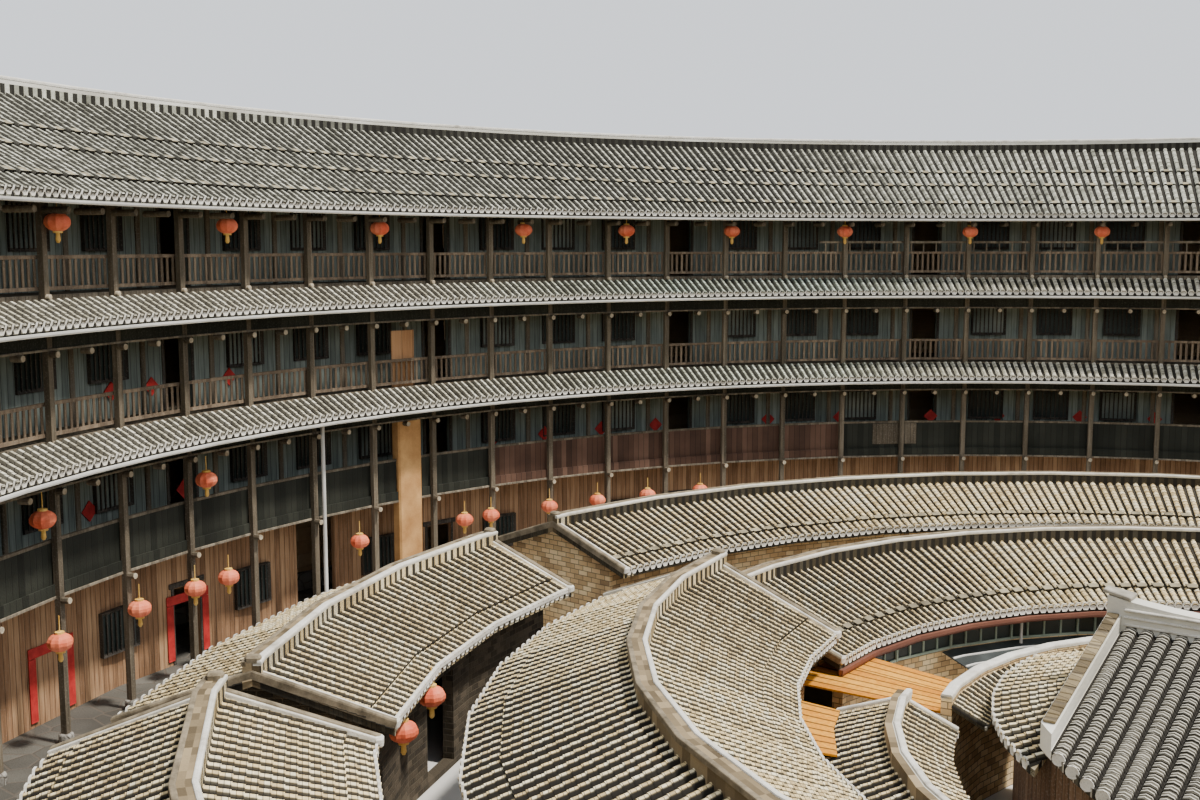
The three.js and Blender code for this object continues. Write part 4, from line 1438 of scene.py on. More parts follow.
# %% Ends and gutters of the outer ring
outer_eaves = [
    ("main_roof", MAIN["inner"], MAIN["eave"], True),
    ("skirt_roof_3", SKIRT["low"], SKIRT[3], True),
    ("skirt_roof_4", SKIRT["low"], SKIRT[4], True),
    ("main_roof_outside", MAIN["outer"], MAIN["eave"], False),
]
for name, radius, eave, inward in outer_eaves:
    ends = tile_ends(radius, eave + 0.01, ROWS_MAIN, BAYS, (0, 360), inward)
    put_away(ends, name + "_tile_ends", lime)


def gutter(radius, top, facets, span=(0, 360), depth=0.08, width=0.1):
    """A gutter with a rounded bottom, below an inner eave."""
    near = (radius - width, top - depth)
    return strip(near, (radius, top), span, facets, chamfer=depth / 2, rounded="bottom")


for name, radius, eave, inward in outer_eaves[:3]:
    made = gutter(radius, eave - 0.125, BAYS)
    put_away(made, name + "_gutter", gutter_white)

# %% [markdown]
# ## Lips of the tile courses
# A long slope is laid in lifts, so that the rows don't slide. Where one lift ends, the next starts
# over a pan tile laid across every second gap. Its top is pale, and its open end has painted shade.
# One small block with a narrower lower end is made for every second gap of two facets, and repeated.


# %% Lip finish and lips
def lip_finish():
    """Pale on top, with painted shade on the open end that faces down the slope."""
    finish, tree, shader = new_finish("lip_tiles")
    worn = place_group(tree, weather, Stain_size=0.8, Grain_size=0.04)
    top = ramp(tree, worn.outputs["Stain"], [(0, (0.12, 0.1, 0.065)), (1, (0.38, 0.33, 0.22))])
    normal = tree.nodes.new("ShaderNodeSeparateXYZ")
    coordinates = tree.nodes.new("ShaderNodeTexCoord")
    tree.links.new(coordinates.outputs["Normal"], normal.inputs[0])
    # painted shade: faces that are not turned up are painted dark
    level = band(tree, normal.outputs[2], 0.6, 0.8)
    tree.links.new(blend_colour(tree, level, (0.03, 0.026, 0.02), top), shader.inputs["Base Color"])
    bump(tree, shader, worn.outputs["Grain"], 0.3, 0.01)
    return finish


lip_tiles = lip_finish()


def lips(ends, heights, rows, facets, span, share, width):
    """Tiles across every second gap of an inner slope, a share of the way up from its eave."""
    run = ends[1] - ends[0]
    rise = heights[1] - heights[0]
    parts = []
    for number in range(0, rows // facets * 2, 2):
        bearing = number * 360 / rows
        closer = facet_factor(bearing, facets)
        lip = block((0.15, width, 0.06), (0, 0, 0))
        pick(lip, lambda place: place.x < 0)
        bpy.ops.transform.resize(value=(1, 0.85, 1), center_override=(0, 0, 0))
        done()
        lip.rotation_euler = (0, -math.atan2(rise, run), 0)
        height = heights[0] + share * rise + ROW_HEIGHT
        lip.location = ((ends[0] + share * run) * closer, 0, height)
        settle(lip)
        facet = 720 / facets
        first = math.ceil((span[0] - bearing) / facet)
        last = math.ceil((span[1] - bearing) / facet) - 1
        parts.append(around(lip, last - first + 1, facet, first * facet + bearing))
    return join(parts)


LIP_WIDTHS = {"main": 0.22, "rings": 0.27}
for number, share in enumerate(MAIN_TIERS[1:], 1):
    radii = (MAIN["inner"], MAIN["ridge"])
    made = lips(radii, MAIN_HEIGHTS, ROWS_MAIN, BAYS, (0, 360), share, LIP_WIDTHS["main"])
    put_away(made, f"main_roof_lips_{number}", lip_tiles)
for name, ring, parts, rows, share in (
    ("ring2_back", RING_2, RING_2_PARTS, ROWS_RING_2, 0.2),
    ("ring3_back", RING_3, RING_3_PARTS, ROWS_RING_3, 0.22),
):
    start, end, eave, top = parts[name]
    radii = (ring["inner"], ring["ridge"])
    span = (start + 1, end - 1)
    made = lips(radii, (eave, top), rows, RING_FACETS, span, share, LIP_WIDTHS["rings"])
    put_away(made, name + "_lips", lip_tiles)

# %% [markdown]
# ## Ridges and verges
# The ridges are stacked tiles under lime. A rounded cap sheds the rain, and one or two thin
# mouldings run below it. At the end of a roof the cap turns down both slopes along the verge.


# %% Ridge of the outer ring
ridge_cap = strip((MAIN["ridge"] - 0.17, 14.79), (MAIN["ridge"] + 0.17, 14.87), chamfer=0.035)
put_away(ridge_cap, "main_ridge_cap", lime)


# %% Ridges, verges and ends of the two rings of houses
def verge_line(ends, heights, bearing, aside, size):
    """A straight line of mortar or tiles down one slope, beside the end of a roof."""
    run = ends[1] - ends[0]
    rise = heights[1] - heights[0]
    slope = math.atan2(rise, abs(run))
    line = block((math.hypot(run, rise) + 0.05, *size), (0, 0, 0))
    pick(line, lambda place: place.z > 0)
    bpy.ops.mesh.bevel(offset=0.3 * size[0], segments=2, affect="EDGES")
    done()
    line.rotation_euler = (0, -slope if run > 0 else slope, 0)
    line.location = (sum(ends) / 2, aside, sum(heights) / 2 + 0.07)
    return turned(settle(line), bearing)


def ridge_and_verges(name, ring, start, end, heights):
    """The ridge's lime cap and its outer tiles, and the two lines along each verge."""
    middle = ring["ridge"]
    top = heights[1]
    span = (start, end)
    reach = SMOOTH_REACH if name == SMOOTH_RIDGE else -0.08
    limed = [strip((middle - 0.168, top + 0.24), (middle + reach, top + 0.3), span, RING_FACETS, 0.025)]
    tiled = [strip((middle + 0.1, top + 0.2), (middle + 0.19, top + 0.285), span, RING_FACETS, 0.02)]
    for side, bearing in ((1, start), (-1, end)):
        closer = facet_factor(bearing, RING_FACETS)
        for slope in ("inner", "outer"):
            ends = (ring[slope] * closer, middle * closer)
            tiled.append(verge_line(ends, heights, bearing, 0.05 * side, (0.13, 0.16)))
            limed.append(verge_line(ends, heights, bearing, 0.16 * side, (0.055, 0.12)))
        tip = block((0.26, 0.2, 0.16), (middle * closer, 0.1 * side, top + 0.3), 0.04)
        tiled.append(turned(tip, bearing))
        foot = block((0.14, 0.2, 0.16), (ring["inner"] * closer, 0.1 * side, heights[0] + 0.06), 0.03)
        limed.append(turned(foot, bearing))
    put_away(join(limed), name + "_lime_lines", lime)
    put_away(join(tiled), name + "_verge_tiles", verge_tiles)


verge_tiles = worn_finish("verge_tiles", (0.07, 0.055, 0.035), (0.34, 0.28, 0.19), 0.9, 0.25)
for ring, parts, rows in ((RING_2, RING_2_PARTS, ROWS_RING_2), (RING_3, RING_3_PARTS, ROWS_RING_3)):
    for name, (start, end, eave, top) in parts.items():
        ridge_and_verges(name, ring, start, end, (eave, top))
        for slope, inward in (("inner", True), ("outer", False)):
            ends = tile_ends(ring[slope], eave + 0.01, rows, RING_FACETS, (start + 0.6, end - 0.6), inward)
            put_away(ends, f"{name}_{slope}_tile_ends", lime)

start, end, eave, top = RING_2_PARTS[SMOOTH_RIDGE]
low = (RING_2["inner"] - 0.03, eave - 0.01)
high = (RING_2["inner"] + 0.05, eave + 0.1)
smooth_eave = strip(low, high, (start, end), RING_FACETS, 0.03)
put_away(smooth_eave, SMOOTH_RIDGE + "_eave_lime", lime)

start, end, eave, top = RING_3_PARTS["ring3_back"]
brown = gutter(RING_3["inner"] + 0.02, eave - 0.13, RING_FACETS, (start, end), depth=0.14)
put_away(brown, "ring3_back_gutter", gutter_brown)

# %% [markdown]
# ## Galleries
# The galleries are timber: posts on stone drums, round poles that carry each roof, a beam below
# each skirt roof, slatted railings above and a plank parapet below. Most of it repeats with the
# bays, so one of each is made at bearing 0 and repeated round the ring. The slats are closed in by
# the rails of the solids, so their own ends are left open.

# %% Railings
SLATS_PER_BAY = 12
for storey in (3, 4):
    deck = DECKS[storey]
    slat = block((0.03, 0.075, 0.6), (RAIL_R, 0, deck + 0.46))
    pick(slat, lambda place: place.z < deck + 0.2)
    bpy.ops.mesh.delete(type="ONLY_FACE")
    done()
    pick(slat, lambda place: place.z > deck + 0.7)
    bpy.ops.mesh.delete(type="ONLY_FACE")
    bpy.ops.mesh.select_all(action="SELECT")
    bpy.ops.mesh.bevel(offset=0.007, segments=1, affect="EDGES")
    done()
    slats = around(slat, BAYS * SLATS_PER_BAY, BAY / SLATS_PER_BAY, BAY / SLATS_PER_BAY / 2)
    put_away(slats, f"railing_{storey}_slats", rail_timber)

UPPER_RAIL = (32.5, 139.5)
upper = strip((RAIL_R - 0.03, 11.02), (RAIL_R + 0.03, 11.1), UPPER_RAIL, chamfer=0.015)
stub = block((0.04, 0.045, 0.34), (RAIL_R, 0, 10.88), 0.006)
stubs = around(stub, int(UPPER_RAIL[1] - UPPER_RAIL[0]), 1.0, UPPER_RAIL[0] + 0.5)
put_away(join([upper, stubs]), "railing_4_upper_rail", grey_timber)

# %% [markdown]
# The parapet of the second gallery is made of upright planks, which are a solid of their own. A
# rounded cap, upright battens and one new panel are nailed over them.

# %% Parapet of the second gallery
cap = strip((DECK_EDGE + 0.01, 4.62), (DECK_EDGE + 0.1, 4.69), chamfer=0.015)
put_away(cap, "parapet_2_cap", olive_timber)
batten = block((0.03, 0.07, 0.8), (DECK_EDGE + 0.02, 0, 4.22), 0.008)
battens = around(batten, 2 * BAYS, BAY / 2, 0)
put_away(battens, "parapet_2_battens", green_timber)

NEW_PANEL = (131.2, 134.8)
panel = strip((DECK_EDGE + 0.005, 3.86), (DECK_EDGE + 0.03, 4.6), NEW_PANEL, chamfer=0.006)
put_away(panel, "parapet_2_new_panel", deck_boards)

# %% [markdown]
# Each post stands on a stone drum, which keeps its foot dry. The beams, their trims and the fascia
# of the parapet are straight from post to post, so they are strips with one step for each bay.

# %% Posts' feet and beams
drum = rod(12, 0.16, 0.24, (POST_R, 0, 0.27))
pick(drum, lambda place: place.z > 0.3)
bpy.ops.mesh.bevel(offset=0.04, segments=2, affect="EDGES")
done()
put_away(around(drum, BAYS, BAY, BAY / 2), "post_drums", footing_stone)

BEAM_FOOT = {3: 5.86, 4: 8.78}
beams = [
    strip((25.54, foot), (25.66, SKIRT[storey] - 0.02), chamfer=0.02)
    for storey, foot in BEAM_FOOT.items()
]
put_away(join(beams), "gallery_beams", green_timber)
beam_trims = [
    strip((25.5, foot - 0.05), (25.56, foot), chamfer=0.01) for foot in BEAM_FOOT.values()
]
put_away(join(beam_trims), "gallery_beam_trims", grey_timber)
fascia = strip((25.64, 3.46), (25.672, 3.72), chamfer=0.006)
put_away(fascia, "parapet_2_fascia", parapet_planks)
trim = strip((25.62, 3.4), (25.68, 3.46), chamfer=0.012)
put_away(trim, "parapet_2_trim", grey_timber)

# %% [markdown]
# Unsquared poles carry the eaves. They run out over the plate, and their sawn ends are pale. A
# pole is one finish all over, so each end is a thin disc of its own with the pale finish. The poles
# of the main roof end behind its eave, so theirs don't show. Joists end in the same way.

# %% Poles and their sawn ends
POLE_LEVELS = {"deck_2": 3.36, "skirt_3": 5.74, "skirt_4": 8.66, "main_roof": 11.66}
poles = []
pole_ends = []
for level, height in POLE_LEVELS.items():
    inner_end = 24.9 if level == "main_roof" else 25.35
    length = POST_R - inner_end
    copies = BAYS if level == "deck_2" else 2 * BAYS
    first = BAY / 2 if level == "deck_2" else 0
    pole = rod(8, 0.075, length, (inner_end + length / 2, 0, height), "X")
    poles.append(around(pole, copies, 360 / copies, first))
    if level == "main_roof":
        continue
    sawn = rod(8, 0.07, 0.02, (inner_end - 0.008, 0, height), "X")
    sink(sawn, lambda place: place.x < inner_end - 0.01, 0.02)
    pole_ends.append(around(sawn, copies, 360 / copies, first))
put_away(join(poles), "gallery_poles", olive_timber)
put_away(join(pole_ends), "gallery_pole_ends", log_ends)

# %% Joist ends above the skirt roofs
JOIST_END_R = 25.5
joist_ends = []
for storey in (3, 4):
    end = rod(10, 0.06, 0.1, (JOIST_END_R, 0, DECKS[storey] - 0.04), "X")
    sink(end, lambda place: place.x < JOIST_END_R - 0.04, 0.02, (-0.015, 0, 0))
    joist_ends.append(around(end, BAYS, BAY, BAY / 2))
put_away(join(joist_ends), "gallery_joist_ends", log_ends)

# %% [markdown]
# ## Doors and windows of the rooms
# Every fourth bay has a door, and the bays between have barred windows, but for the middle one on
# the ground floor. A window is a block whose face is sunk to make the frame, with bars and a pane
# set into it. Some panes are paler, because some rooms are lit from the outer wall.

# %% Door frames and windows
DOOR_EVERY = 20  # degrees, which is every fourth bay
DOOR_R = 26.97
WINDOW_R = 26.91


def door_frame(deck):
    """Two jambs and a lintel round a doorway at bearing 0."""
    jambs = [block((0.2, 0.1, 2.02), (DOOR_R, side * 0.5, deck + 1.01), 0.012) for side in (-1, 1)]
    lintel = block((0.22, 1.24, 0.14), (DOOR_R, 0, deck + 2.08), 0.015)
    return join(jambs + [lintel])


def window_parts(deck):
    """The frame with its bars, and the pane, of a room's window at bearing 0."""
    height = deck + 1.45
    window = block((0.16, 1.24, 1.1), (WINDOW_R, 0, height))
    sink(window, lambda place: place.x < WINDOW_R, 0.09, (0.07, 0, 0))
    bar = block((0.03, 0.035, 1.0), (26.86, -0.45, height))
    bars = in_line(bar, 7, (0, 0.15, 0))
    pane = block((0.012, 1.08, 0.94), (26.888, 0, height), 0.003)
    return join([window, bars]), pane


door_frames = []
window_frames = []
panes = {"pale": [], "dark": []}
for storey, deck in DECKS.items():
    ground = storey == 1
    first = FRONT + (DOOR_EVERY if ground else 0)
    copies = 360 // DOOR_EVERY
    door_frames.append(around(door_frame(deck), copies - ground, DOOR_EVERY, first))
    for shift in (5, 15) if ground else (5, 10, 15):
        window, pane = window_parts(deck)
        window_frames.append(around(window, copies, DOOR_EVERY, FRONT + shift))
        shade = "pale" if (shift + 5 * storey) % 15 == 0 else "dark"
        panes[shade].append(around(pane, copies, DOOR_EVERY, FRONT + shift))
room_posts = []
for storey in (2, 3, 4):
    post = block((0.12, 0.15, 2.6), (26.93, 0, DECKS[storey] + 1.3), 0.02)
    room_posts.append(around(post, BAYS, BAY, BAY / 2))
put_away(join(room_posts), "room_front_posts", grey_timber)
put_away(join(door_frames), "room_door_frames", dark_timber)
put_away(join(window_frames), "room_window_frames", dark_timber)
put_away(join(panes["pale"]), "room_panes_pale", pale_panes)
put_away(join(panes["dark"]), "room_panes_dark", dark_panes)

# %% [markdown]
# ## Lanterns and bare red papers
# Lanterns hang from the eaves plate and from the poles. Each is a flattened ball of red cloth over
# wire ribs, so every second meridian is drawn in, with gold caps and a short tassel. The papers on
# the room fronts are left bare.


# %% One lantern
def lantern_parts():
    """The cloth and the fittings of a lantern, centred on the origin."""
    deselect()
    bpy.ops.mesh.primitive_uv_sphere_add(segments=20, ring_count=9, radius=0.275)
    cloth = bpy.context.object
    cloth.scale.z = 0.74
    settle(cloth)
    step = math.radians(360 / 20)
    pick(cloth, lambda place: round(math.atan2(place.y, place.x) / step) % 2 and abs(place.z) < 0.2)
    bpy.ops.transform.resize(value=(0.92, 0.92, 1), center_override=(0, 0, 0))
    done()
    fittings = []
    for height in (0.205, -0.205):
        cap = rod(10, 0.1, 0.05, (0, 0, height))
        fittings.append(sink(cap, lambda place: abs(place.z) > 0.21, 0.02))
    deselect()
    bpy.ops.mesh.primitive_cone_add(
        vertices=10, radius1=0.055, radius2=0.04, depth=0.16, location=(0, 0, -0.3)
    )
    tassel = settle(bpy.context.object)
    pick(tassel, lambda place: place.z < -0.36)
    bpy.ops.mesh.extrude_region_move(TRANSFORM_OT_translate={"value": (0, 0, -0.05)})
    bpy.ops.transform.resize(value=(0.5, 0.5, 1), center_override=(0, 0, -0.42))
    done()
    cord = block((0.02, 0.02, 0.36), (0, 0, 0.4), 0.004)
    return cloth, join(fittings + [tassel, cord])


print("a lantern hangs from a cord of 0.35 m")

# %% [markdown]
# The lanterns in the photograph each hang at their own bearing. Round the rest of the ring there is
# one for every two bays. One lantern is modelled, and each of the others is a copy of it.

# %% All lanterns
LANTERN_R = 25.3
SEEN_EAVE_LANTERNS = (117.4, 127.6, 137.8, 147.3, 156.3, 165.1, 177.2, 189.5, 202.2)
UNSEEN_EAVE_LANTERNS = tuple(range(212, 466, 10))
GROUND_LANTERNS = (149.8, 154.4, 158.8, 163.0, 168.1, 170.4, 179.4, 190.3, 193.0, 197.4, 203.5)
EAVE_LANTERNS = SEEN_EAVE_LANTERNS + UNSEEN_EAVE_LANTERNS
PARAPET_LANTERNS = ((204.3, 5.3), (191.8, 5.2))
ALLEY_LANTERNS = ((16.68, 212.1, 2.36), (16.6, 206.6, 2.45))
lantern_places = [point(LANTERN_R, bearing, 11.42) for bearing in EAVE_LANTERNS]
lantern_places += [point(LANTERN_R, *place) for place in PARAPET_LANTERNS]
lantern_places += [point(LANTERN_R, bearing, 2.58) for bearing in GROUND_LANTERNS]
lantern_places += [point(*place) for place in ALLEY_LANTERNS]
cloth_model, fittings_model = lantern_parts()
cloths = []
fittings = []
for place in lantern_places:
    for model, group in ((cloth_model, cloths), (fittings_model, fittings)):
        twin = copy_of(model)
        twin.location = place
        group.append(twin)
for model in (cloth_model, fittings_model):
    bpy.data.objects.remove(model)
put_away(join(cloths), "lantern_cloths", red_cloth)
put_away(join(fittings), "lantern_fittings", gold_paper)
print(len(lantern_places), "lanterns")

# %% [markdown]
# Papers beside and over the doors are thin plates with a border, some of them turned onto a
# corner. They could be colour on the boards, but a real sheet catches the light at its edges.


# %% Red papers
def hung(size, place, bearing, tilt=0.0):
    """A thin plate with a raised border, hung on a room front at a bearing."""
    plate = block(size, (0, 0, 0))
    sink(plate, lambda place: place.x < 0, 0.03, (0.006, 0, 0))
    plate.rotation_euler.x = math.radians(tilt)
    plate.location = Vector(place)
    plate.location.x *= facet_factor(bearing, RING_FACETS)
    return turned(settle(plate), bearing)


PAPER_R = 26.97
SECOND_FLOOR = (112.3, 117.8, 124.0, 129.3, 136.6, 142.5, 151.9, 156.4, 161.2, 165.3, 190.0, 196.7)
THIRD_FLOOR = (186.2, 192.0, 194.7)
papers = [hung((0.02, 0.36, 0.36), (PAPER_R, 0, 4.7), bearing, 45) for bearing in SECOND_FLOOR]
papers += [hung((0.02, 0.34, 0.34), (PAPER_R, 0, 7.45), bearing, 45) for bearing in THIRD_FLOOR]
for bearing in (190.0, 199.9):
    papers += [hung((0.02, 0.22, 1.45), (PAPER_R, side * 0.62, 1.0), bearing) for side in (-1, 1)]
    papers.append(hung((0.02, 1.46, 0.24), (PAPER_R, 0, 1.86), bearing))
put_away(join(papers), "red_papers", red_paper)

# %% [markdown]
# One bay was mended with a pier of orange earth between its posts and a new board above it. Rain
# pipes bring the water of the gutters down. A pipe is a rod whose top face is extruded inwards and
# up, which is enough for a bend that is seen from far away.

# %% The mended bay and two rain pipes
PIER = 174.5  # bearing of a mended bay
pier = block((0.36, 0.86, 5.9), (25.72, 0, 3.1), 0.05)
put_away(turned(pier, PIER), "mended_pier", orange_earth)
board = block((0.04, 0.84, 1.66), (25.84, 0, 7.63), 0.012)
put_away(turned(board, PIER), "mended_board", fresh_boards)



def bent_pipe(radius, length, place, bend, bearing):
    """An upright pipe whose top bends towards the middle by a step, turned to a bearing."""
    pipe = rod(10, radius, length, place)
    pick(pipe, lambda spot: spot.z > place[2])
    bpy.ops.mesh.extrude_region_move(TRANSFORM_OT_translate={"value": bend})
    done()
    return turned(pipe, bearing)


RAIN_PIPE = 182.05  # bearings of the two pipes
COURT_PIPE = 144.5
pipe = bent_pipe(0.055, 5.9, (25.42, 0, 3.2), (-0.3, 0, 0.12), RAIN_PIPE)
put_away(pipe, "rain_pipe", gutter_white)

# %% [markdown]
# ## The inner side of the third ring
# A glazed band with pale frames runs below the eave of the third ring, towards the court. A dark
# sheet with three laths slopes away below it. The sheet is a level strip at first, and each of its
# circles of points is then lowered by its distance from the band.

# %% Glazed band
BAND = {"inner": 10.3, "low": 1.5, "high": 2.05, "spans": ((6, 82), (98, 172))}
glass = []
frames = []
for start, end in BAND["spans"]:
    steps = round((end - start) / 5)
    inner, low, high = BAND["inner"], BAND["low"], BAND["high"]
    glass.append(strip((inner, low), (inner + 0.04, high), (start, end), RING_FACETS))
    for height in (low, high - 0.06):
        corners = ((inner - 0.04, height), (inner, height + 0.06))
        frames.append(strip(*corners, (start, end), RING_FACETS, 0.01))
    mullion = block((0.06, 0.05, high - low), (inner - 0.035, 0, (low + high) / 2), 0.008)
    frames.append(around(mullion, 2 * steps + 1, 2.5, start))
put_away(join(glass), "ring3_back_glass", dark_panes)
put_away(join(frames), "ring3_back_glass_frames", green_frames)

# %% Sheet below the band, and its drain
SHEET_SPAN = (108, 157)
SHEET_TOP_R = 10.28
sheet = strip((9.1, 1.44), (SHEET_TOP_R, 1.47), SHEET_SPAN, RING_FACETS)
sheet_lines = [
    strip((radius, 1.46), (radius + 0.035, 1.5), SHEET_SPAN, RING_FACETS, 0.01)
    for radius in (9.12, 9.5, 9.9)
]
SHEET_FALL = 0.2  # down towards the court, for each metre
for piece in [sheet] + sheet_lines:
    for radius in sorted({round(math.hypot(*vertex.co.xy), 3) for vertex in piece.data.vertices}):
        pick(piece, lambda place: abs(math.hypot(place.x, place.y) - radius) < 0.0006)
        bpy.ops.transform.translate(value=(0, 0, (radius - SHEET_TOP_R) * SHEET_FALL))
        done()
put_away(sheet, "alley_sheet", sheet_dark)
put_away(join(sheet_lines), "alley_sheet_lines", gutter_white)

drain = bent_pipe(0.035, 0.75, (10.12, 0, 1.8), (-0.1, 0, 0.12), COURT_PIPE)
put_away(drain, "court_drain_pipe", gutter_white)

# %% [markdown]
# ## The hall in the court
# The hall has straight rows on a gabled roof whose front eave is round, so each row has its own
# length. The rows of its two wings run to the middle, and end at the hall's verges. Both are made
# row by row: a short loop, with one length worked out for each row.

# %% Hall roof rows
HALL = {"ridge_y": -0.9, "ridge": 4.22, "slope": 0.3, "verge": 4.35, "eave_r": 6.2, "back": 3.2}
HALL_PITCH = 0.28
HALL_ROW = 0.255
HALL_ROW_HEIGHT = 0.11
HALL_LIFT = 0.02
HALL_COURSE = 0.16


def hall_height(y):
    """The height of the hall's roof at a Y."""
    return HALL["ridge"] - abs(y - HALL["ridge_y"]) * HALL["slope"]


def straight_row(x, low_y):
    """One row of the hall's roof, from an eave up to the ridge."""
    run = HALL["ridge_y"] - low_y
    slope = math.atan(HALL["slope"])
    length = abs(run) / math.cos(slope)
    courses = round(length / HALL_COURSE)
    row = tile_row(HALL_ROW, HALL_ROW_HEIGHT, length / courses, courses, HALL_LIFT, FULL_ROUND)
    row.rotation_euler = (0, -slope, math.copysign(math.pi / 2, run))
    row.location = (x, low_y, hall_height(low_y) - 0.01)
    return settle(row)


def front_eave(x):
    """The Y of the hall's round front eave at an X."""
    return -math.sqrt(HALL["eave_r"] ** 2 - x ** 2)


row_places = [HALL_PITCH * number for number in range(-14, 15)]
hall_rows = [straight_row(x, front_eave(x)) for x in row_places]
hall_rows += [straight_row(x, HALL["back"]) for x in row_places]
hall_values = {"Row_width": HALL_PITCH, "Course_run": 0.0765}
# The hall's courses get a strong painted highlight on their lower edges.
hall_finish = tile_finish(
    "hall_roof_tiles", hall_tiles, DARK_TILES, hall_values, HALL_ROW, 0.9, (0.18, 0.0, 0.2), 0.5,
    pale=(0.16, 0.3, 0.7),
)
put_away(join(hall_rows), "hall_roof_rows", hall_finish)


def row_end(x, y, side):
    """A round lime end of one row of the hall."""
    end = rod(12, 0.105, 0.05, (x, y + 0.02 * side, hall_height(y) + 0.01), "Y")
    return sink(end, lambda place: (place.y - y) * side > 0.03, 0.025, (0, -0.012 * side, 0))


row_ends = [row_end(x, front_eave(x), -1) for x in row_places]
row_ends += [row_end(x, HALL["back"], 1) for x in row_places]
put_away(join(row_ends), "hall_row_ends", lime)

# %% [markdown]
# The hall's ridge is built up in three thin lines of lime, and its two tips turn up: each is a
# block whose outer points are moved up and closer together. A rib of bricks under coping tiles
# stands on each verge, against the wind. One coping tile is repeated down each slope.

# %% Hall ridge and its tips
HALL_TOP = HALL["ridge"] + 0.37
hall_lime = []
tips = []
for height, reach in ((-0.3, 0.2), (-0.16, 0.215), (-0.03, 0.23)):
    size = (2 * HALL["verge"] - 0.6, 2 * reach, 0.05)
    hall_lime.append(block(size, (0, HALL["ridge_y"], HALL_TOP + height), 0.015))
for side in (-1, 1):
    outer = HALL["verge"] - 0.16
    tip = block((0.5, 0.42, 0.07), (side * outer, HALL["ridge_y"], HALL_TOP + 0.17), 0.015)
    pick(tip, lambda place: side * place.x > outer)
    bpy.ops.transform.translate(value=(0, 0, 0.08))
    bpy.ops.transform.resize(value=(1, 0.7, 1), center_override=(0, HALL["ridge_y"], HALL_TOP))
    done()
    tips.append(tip)
put_away(join(hall_lime), "hall_ridge_lines", lime)
put_away(join(tips), "hall_ridge_tips", old_lime)

# %% Coping of the hall's ribs
RIB_X = HALL["verge"] - 0.125
RIB_COURSE = 0.2
coping = []
for low_y in (front_eave(HALL["verge"]), HALL["back"]):
    run = HALL["ridge_y"] - low_y
    slope = math.atan(HALL["slope"])
    length = abs(run) / math.cos(slope)
    courses = round(length / RIB_COURSE)
    for side in (-1, 1):
        tile = block((length / courses - 0.012, 0.2, 0.05), (length / courses / 2, 0, 0.0), 0.012)
        line = in_line(tile, courses - 1, (length / courses, 0, 0))
        line.rotation_euler = (0, -slope, math.copysign(math.pi / 2, run))
        line.location = (side * RIB_X, low_y, hall_height(low_y) + 0.3)
        coping.append(settle(line))
rib_brick = brick_finish("rib_brick", RIB_BRICK, 4.0)
put_away(join(coping), "hall_rib_coping", rib_brick)

# %% [markdown]
# The hall's wings have low roofs that fall to a round eave. Their rows run to the middle, two and a
# half degrees apart, and each is as long as the way from the eave to the hall's verge. Long rows
# could be cut by the plane of the verge, but rows of their own length keep whole tiles.

# %% Wing roof rows
WING = {"eave_r": 6.35, "eave": 2.7, "slope": 0.31, "step": 2.5}
WING_ROW = 0.19
WING_ROWS = 22
WING_FIRST = 171.25  # bearing of the first row of the left wing


def wing_row(bearing):
    """One row of a wing's roof, from the eave in to the hall's verge."""
    top_r = HALL["verge"] / abs(math.cos(math.radians(bearing)))
    eave_r = WING["eave_r"] * facet_factor(bearing, RING_FACETS)
    slope = math.atan(WING["slope"])
    length = (eave_r - top_r) / math.cos(slope)
    courses = max(1, round(length / HALL_COURSE))
    row = tile_row(WING_ROW, ROW_HEIGHT, length / courses, courses, HALL_LIFT, FULL_ROUND)
    row.rotation_euler = (0, -slope, math.pi)
    row.location = (eave_r, 0, WING["eave"] - 0.02)
    return turned(settle(row), bearing)


wing_rows = []
for number in range(WING_ROWS):
    bearing = WING_FIRST + number * WING["step"]
    wing_rows += [wing_row(bearing), wing_row(180 - bearing)]
wing_values = {
    "Rows": 360 / WING["step"],
    "Ridge_radius": 2.0,
    "Outer_run": 4.35,
    "Outer_courses": 28,
}
wing_finish = tile_finish("wing_tiles", ring_tiles, TAN_TILES, wing_values, WING_ROW, 0.5)
put_away(join(wing_rows), "wing_roof_rows", wing_finish)
wing_edge = [
    tile_ends(WING["eave_r"], WING["eave"], 144, RING_FACETS, (171, 225), False),
    tile_ends(WING["eave_r"], WING["eave"], 144, RING_FACETS, (-45, 9), False),
]
put_away(join(wing_edge), "wing_row_ends", lime)

# %% [markdown]
# A low ring round the hall closes the court: a lean-to at the back, and a gabled passage in front.
# Its middle is not the house's, but 0.9 m nearer to the gate. That is why the helpers that repeat
# a piece can move the middle.

# %% Rows of the court's lean-to
COURT_Y = -0.9
COURT_BACK = {"low": 6.22, "high": 6.85, "eave": 2.25, "top": 2.56, "span": (-11, 191)}
COURT_FRONT = {"inner": 6.7, "ridge": 7.7, "outer": 8.9, "eave": 2.08, "top": 2.52, "span": (191.6, 348.4)}
COURT_ROWS = 216
back_values = {
    "Rows": COURT_ROWS,
    "Ridge_radius": COURT_BACK["high"],
    "Inner_run": 0.63,
    "Inner_courses": 8,
    "Centre_Y": COURT_Y,
}
back_width = row_width((COURT_BACK["low"], COURT_BACK["high"]), COURT_ROWS)
back_tiles = tile_finish("court_back_tiles", ring_tiles, TAN_TILES, back_values, back_width)
made = ring_rows(
    (COURT_BACK["low"], COURT_BACK["high"]),
    (COURT_BACK["eave"], COURT_BACK["top"]),
    COURT_ROWS, RING_FACETS, COURT_BACK["span"], 4, centre_y=COURT_Y,
)
put_away(made, "court_back_rows", back_tiles)

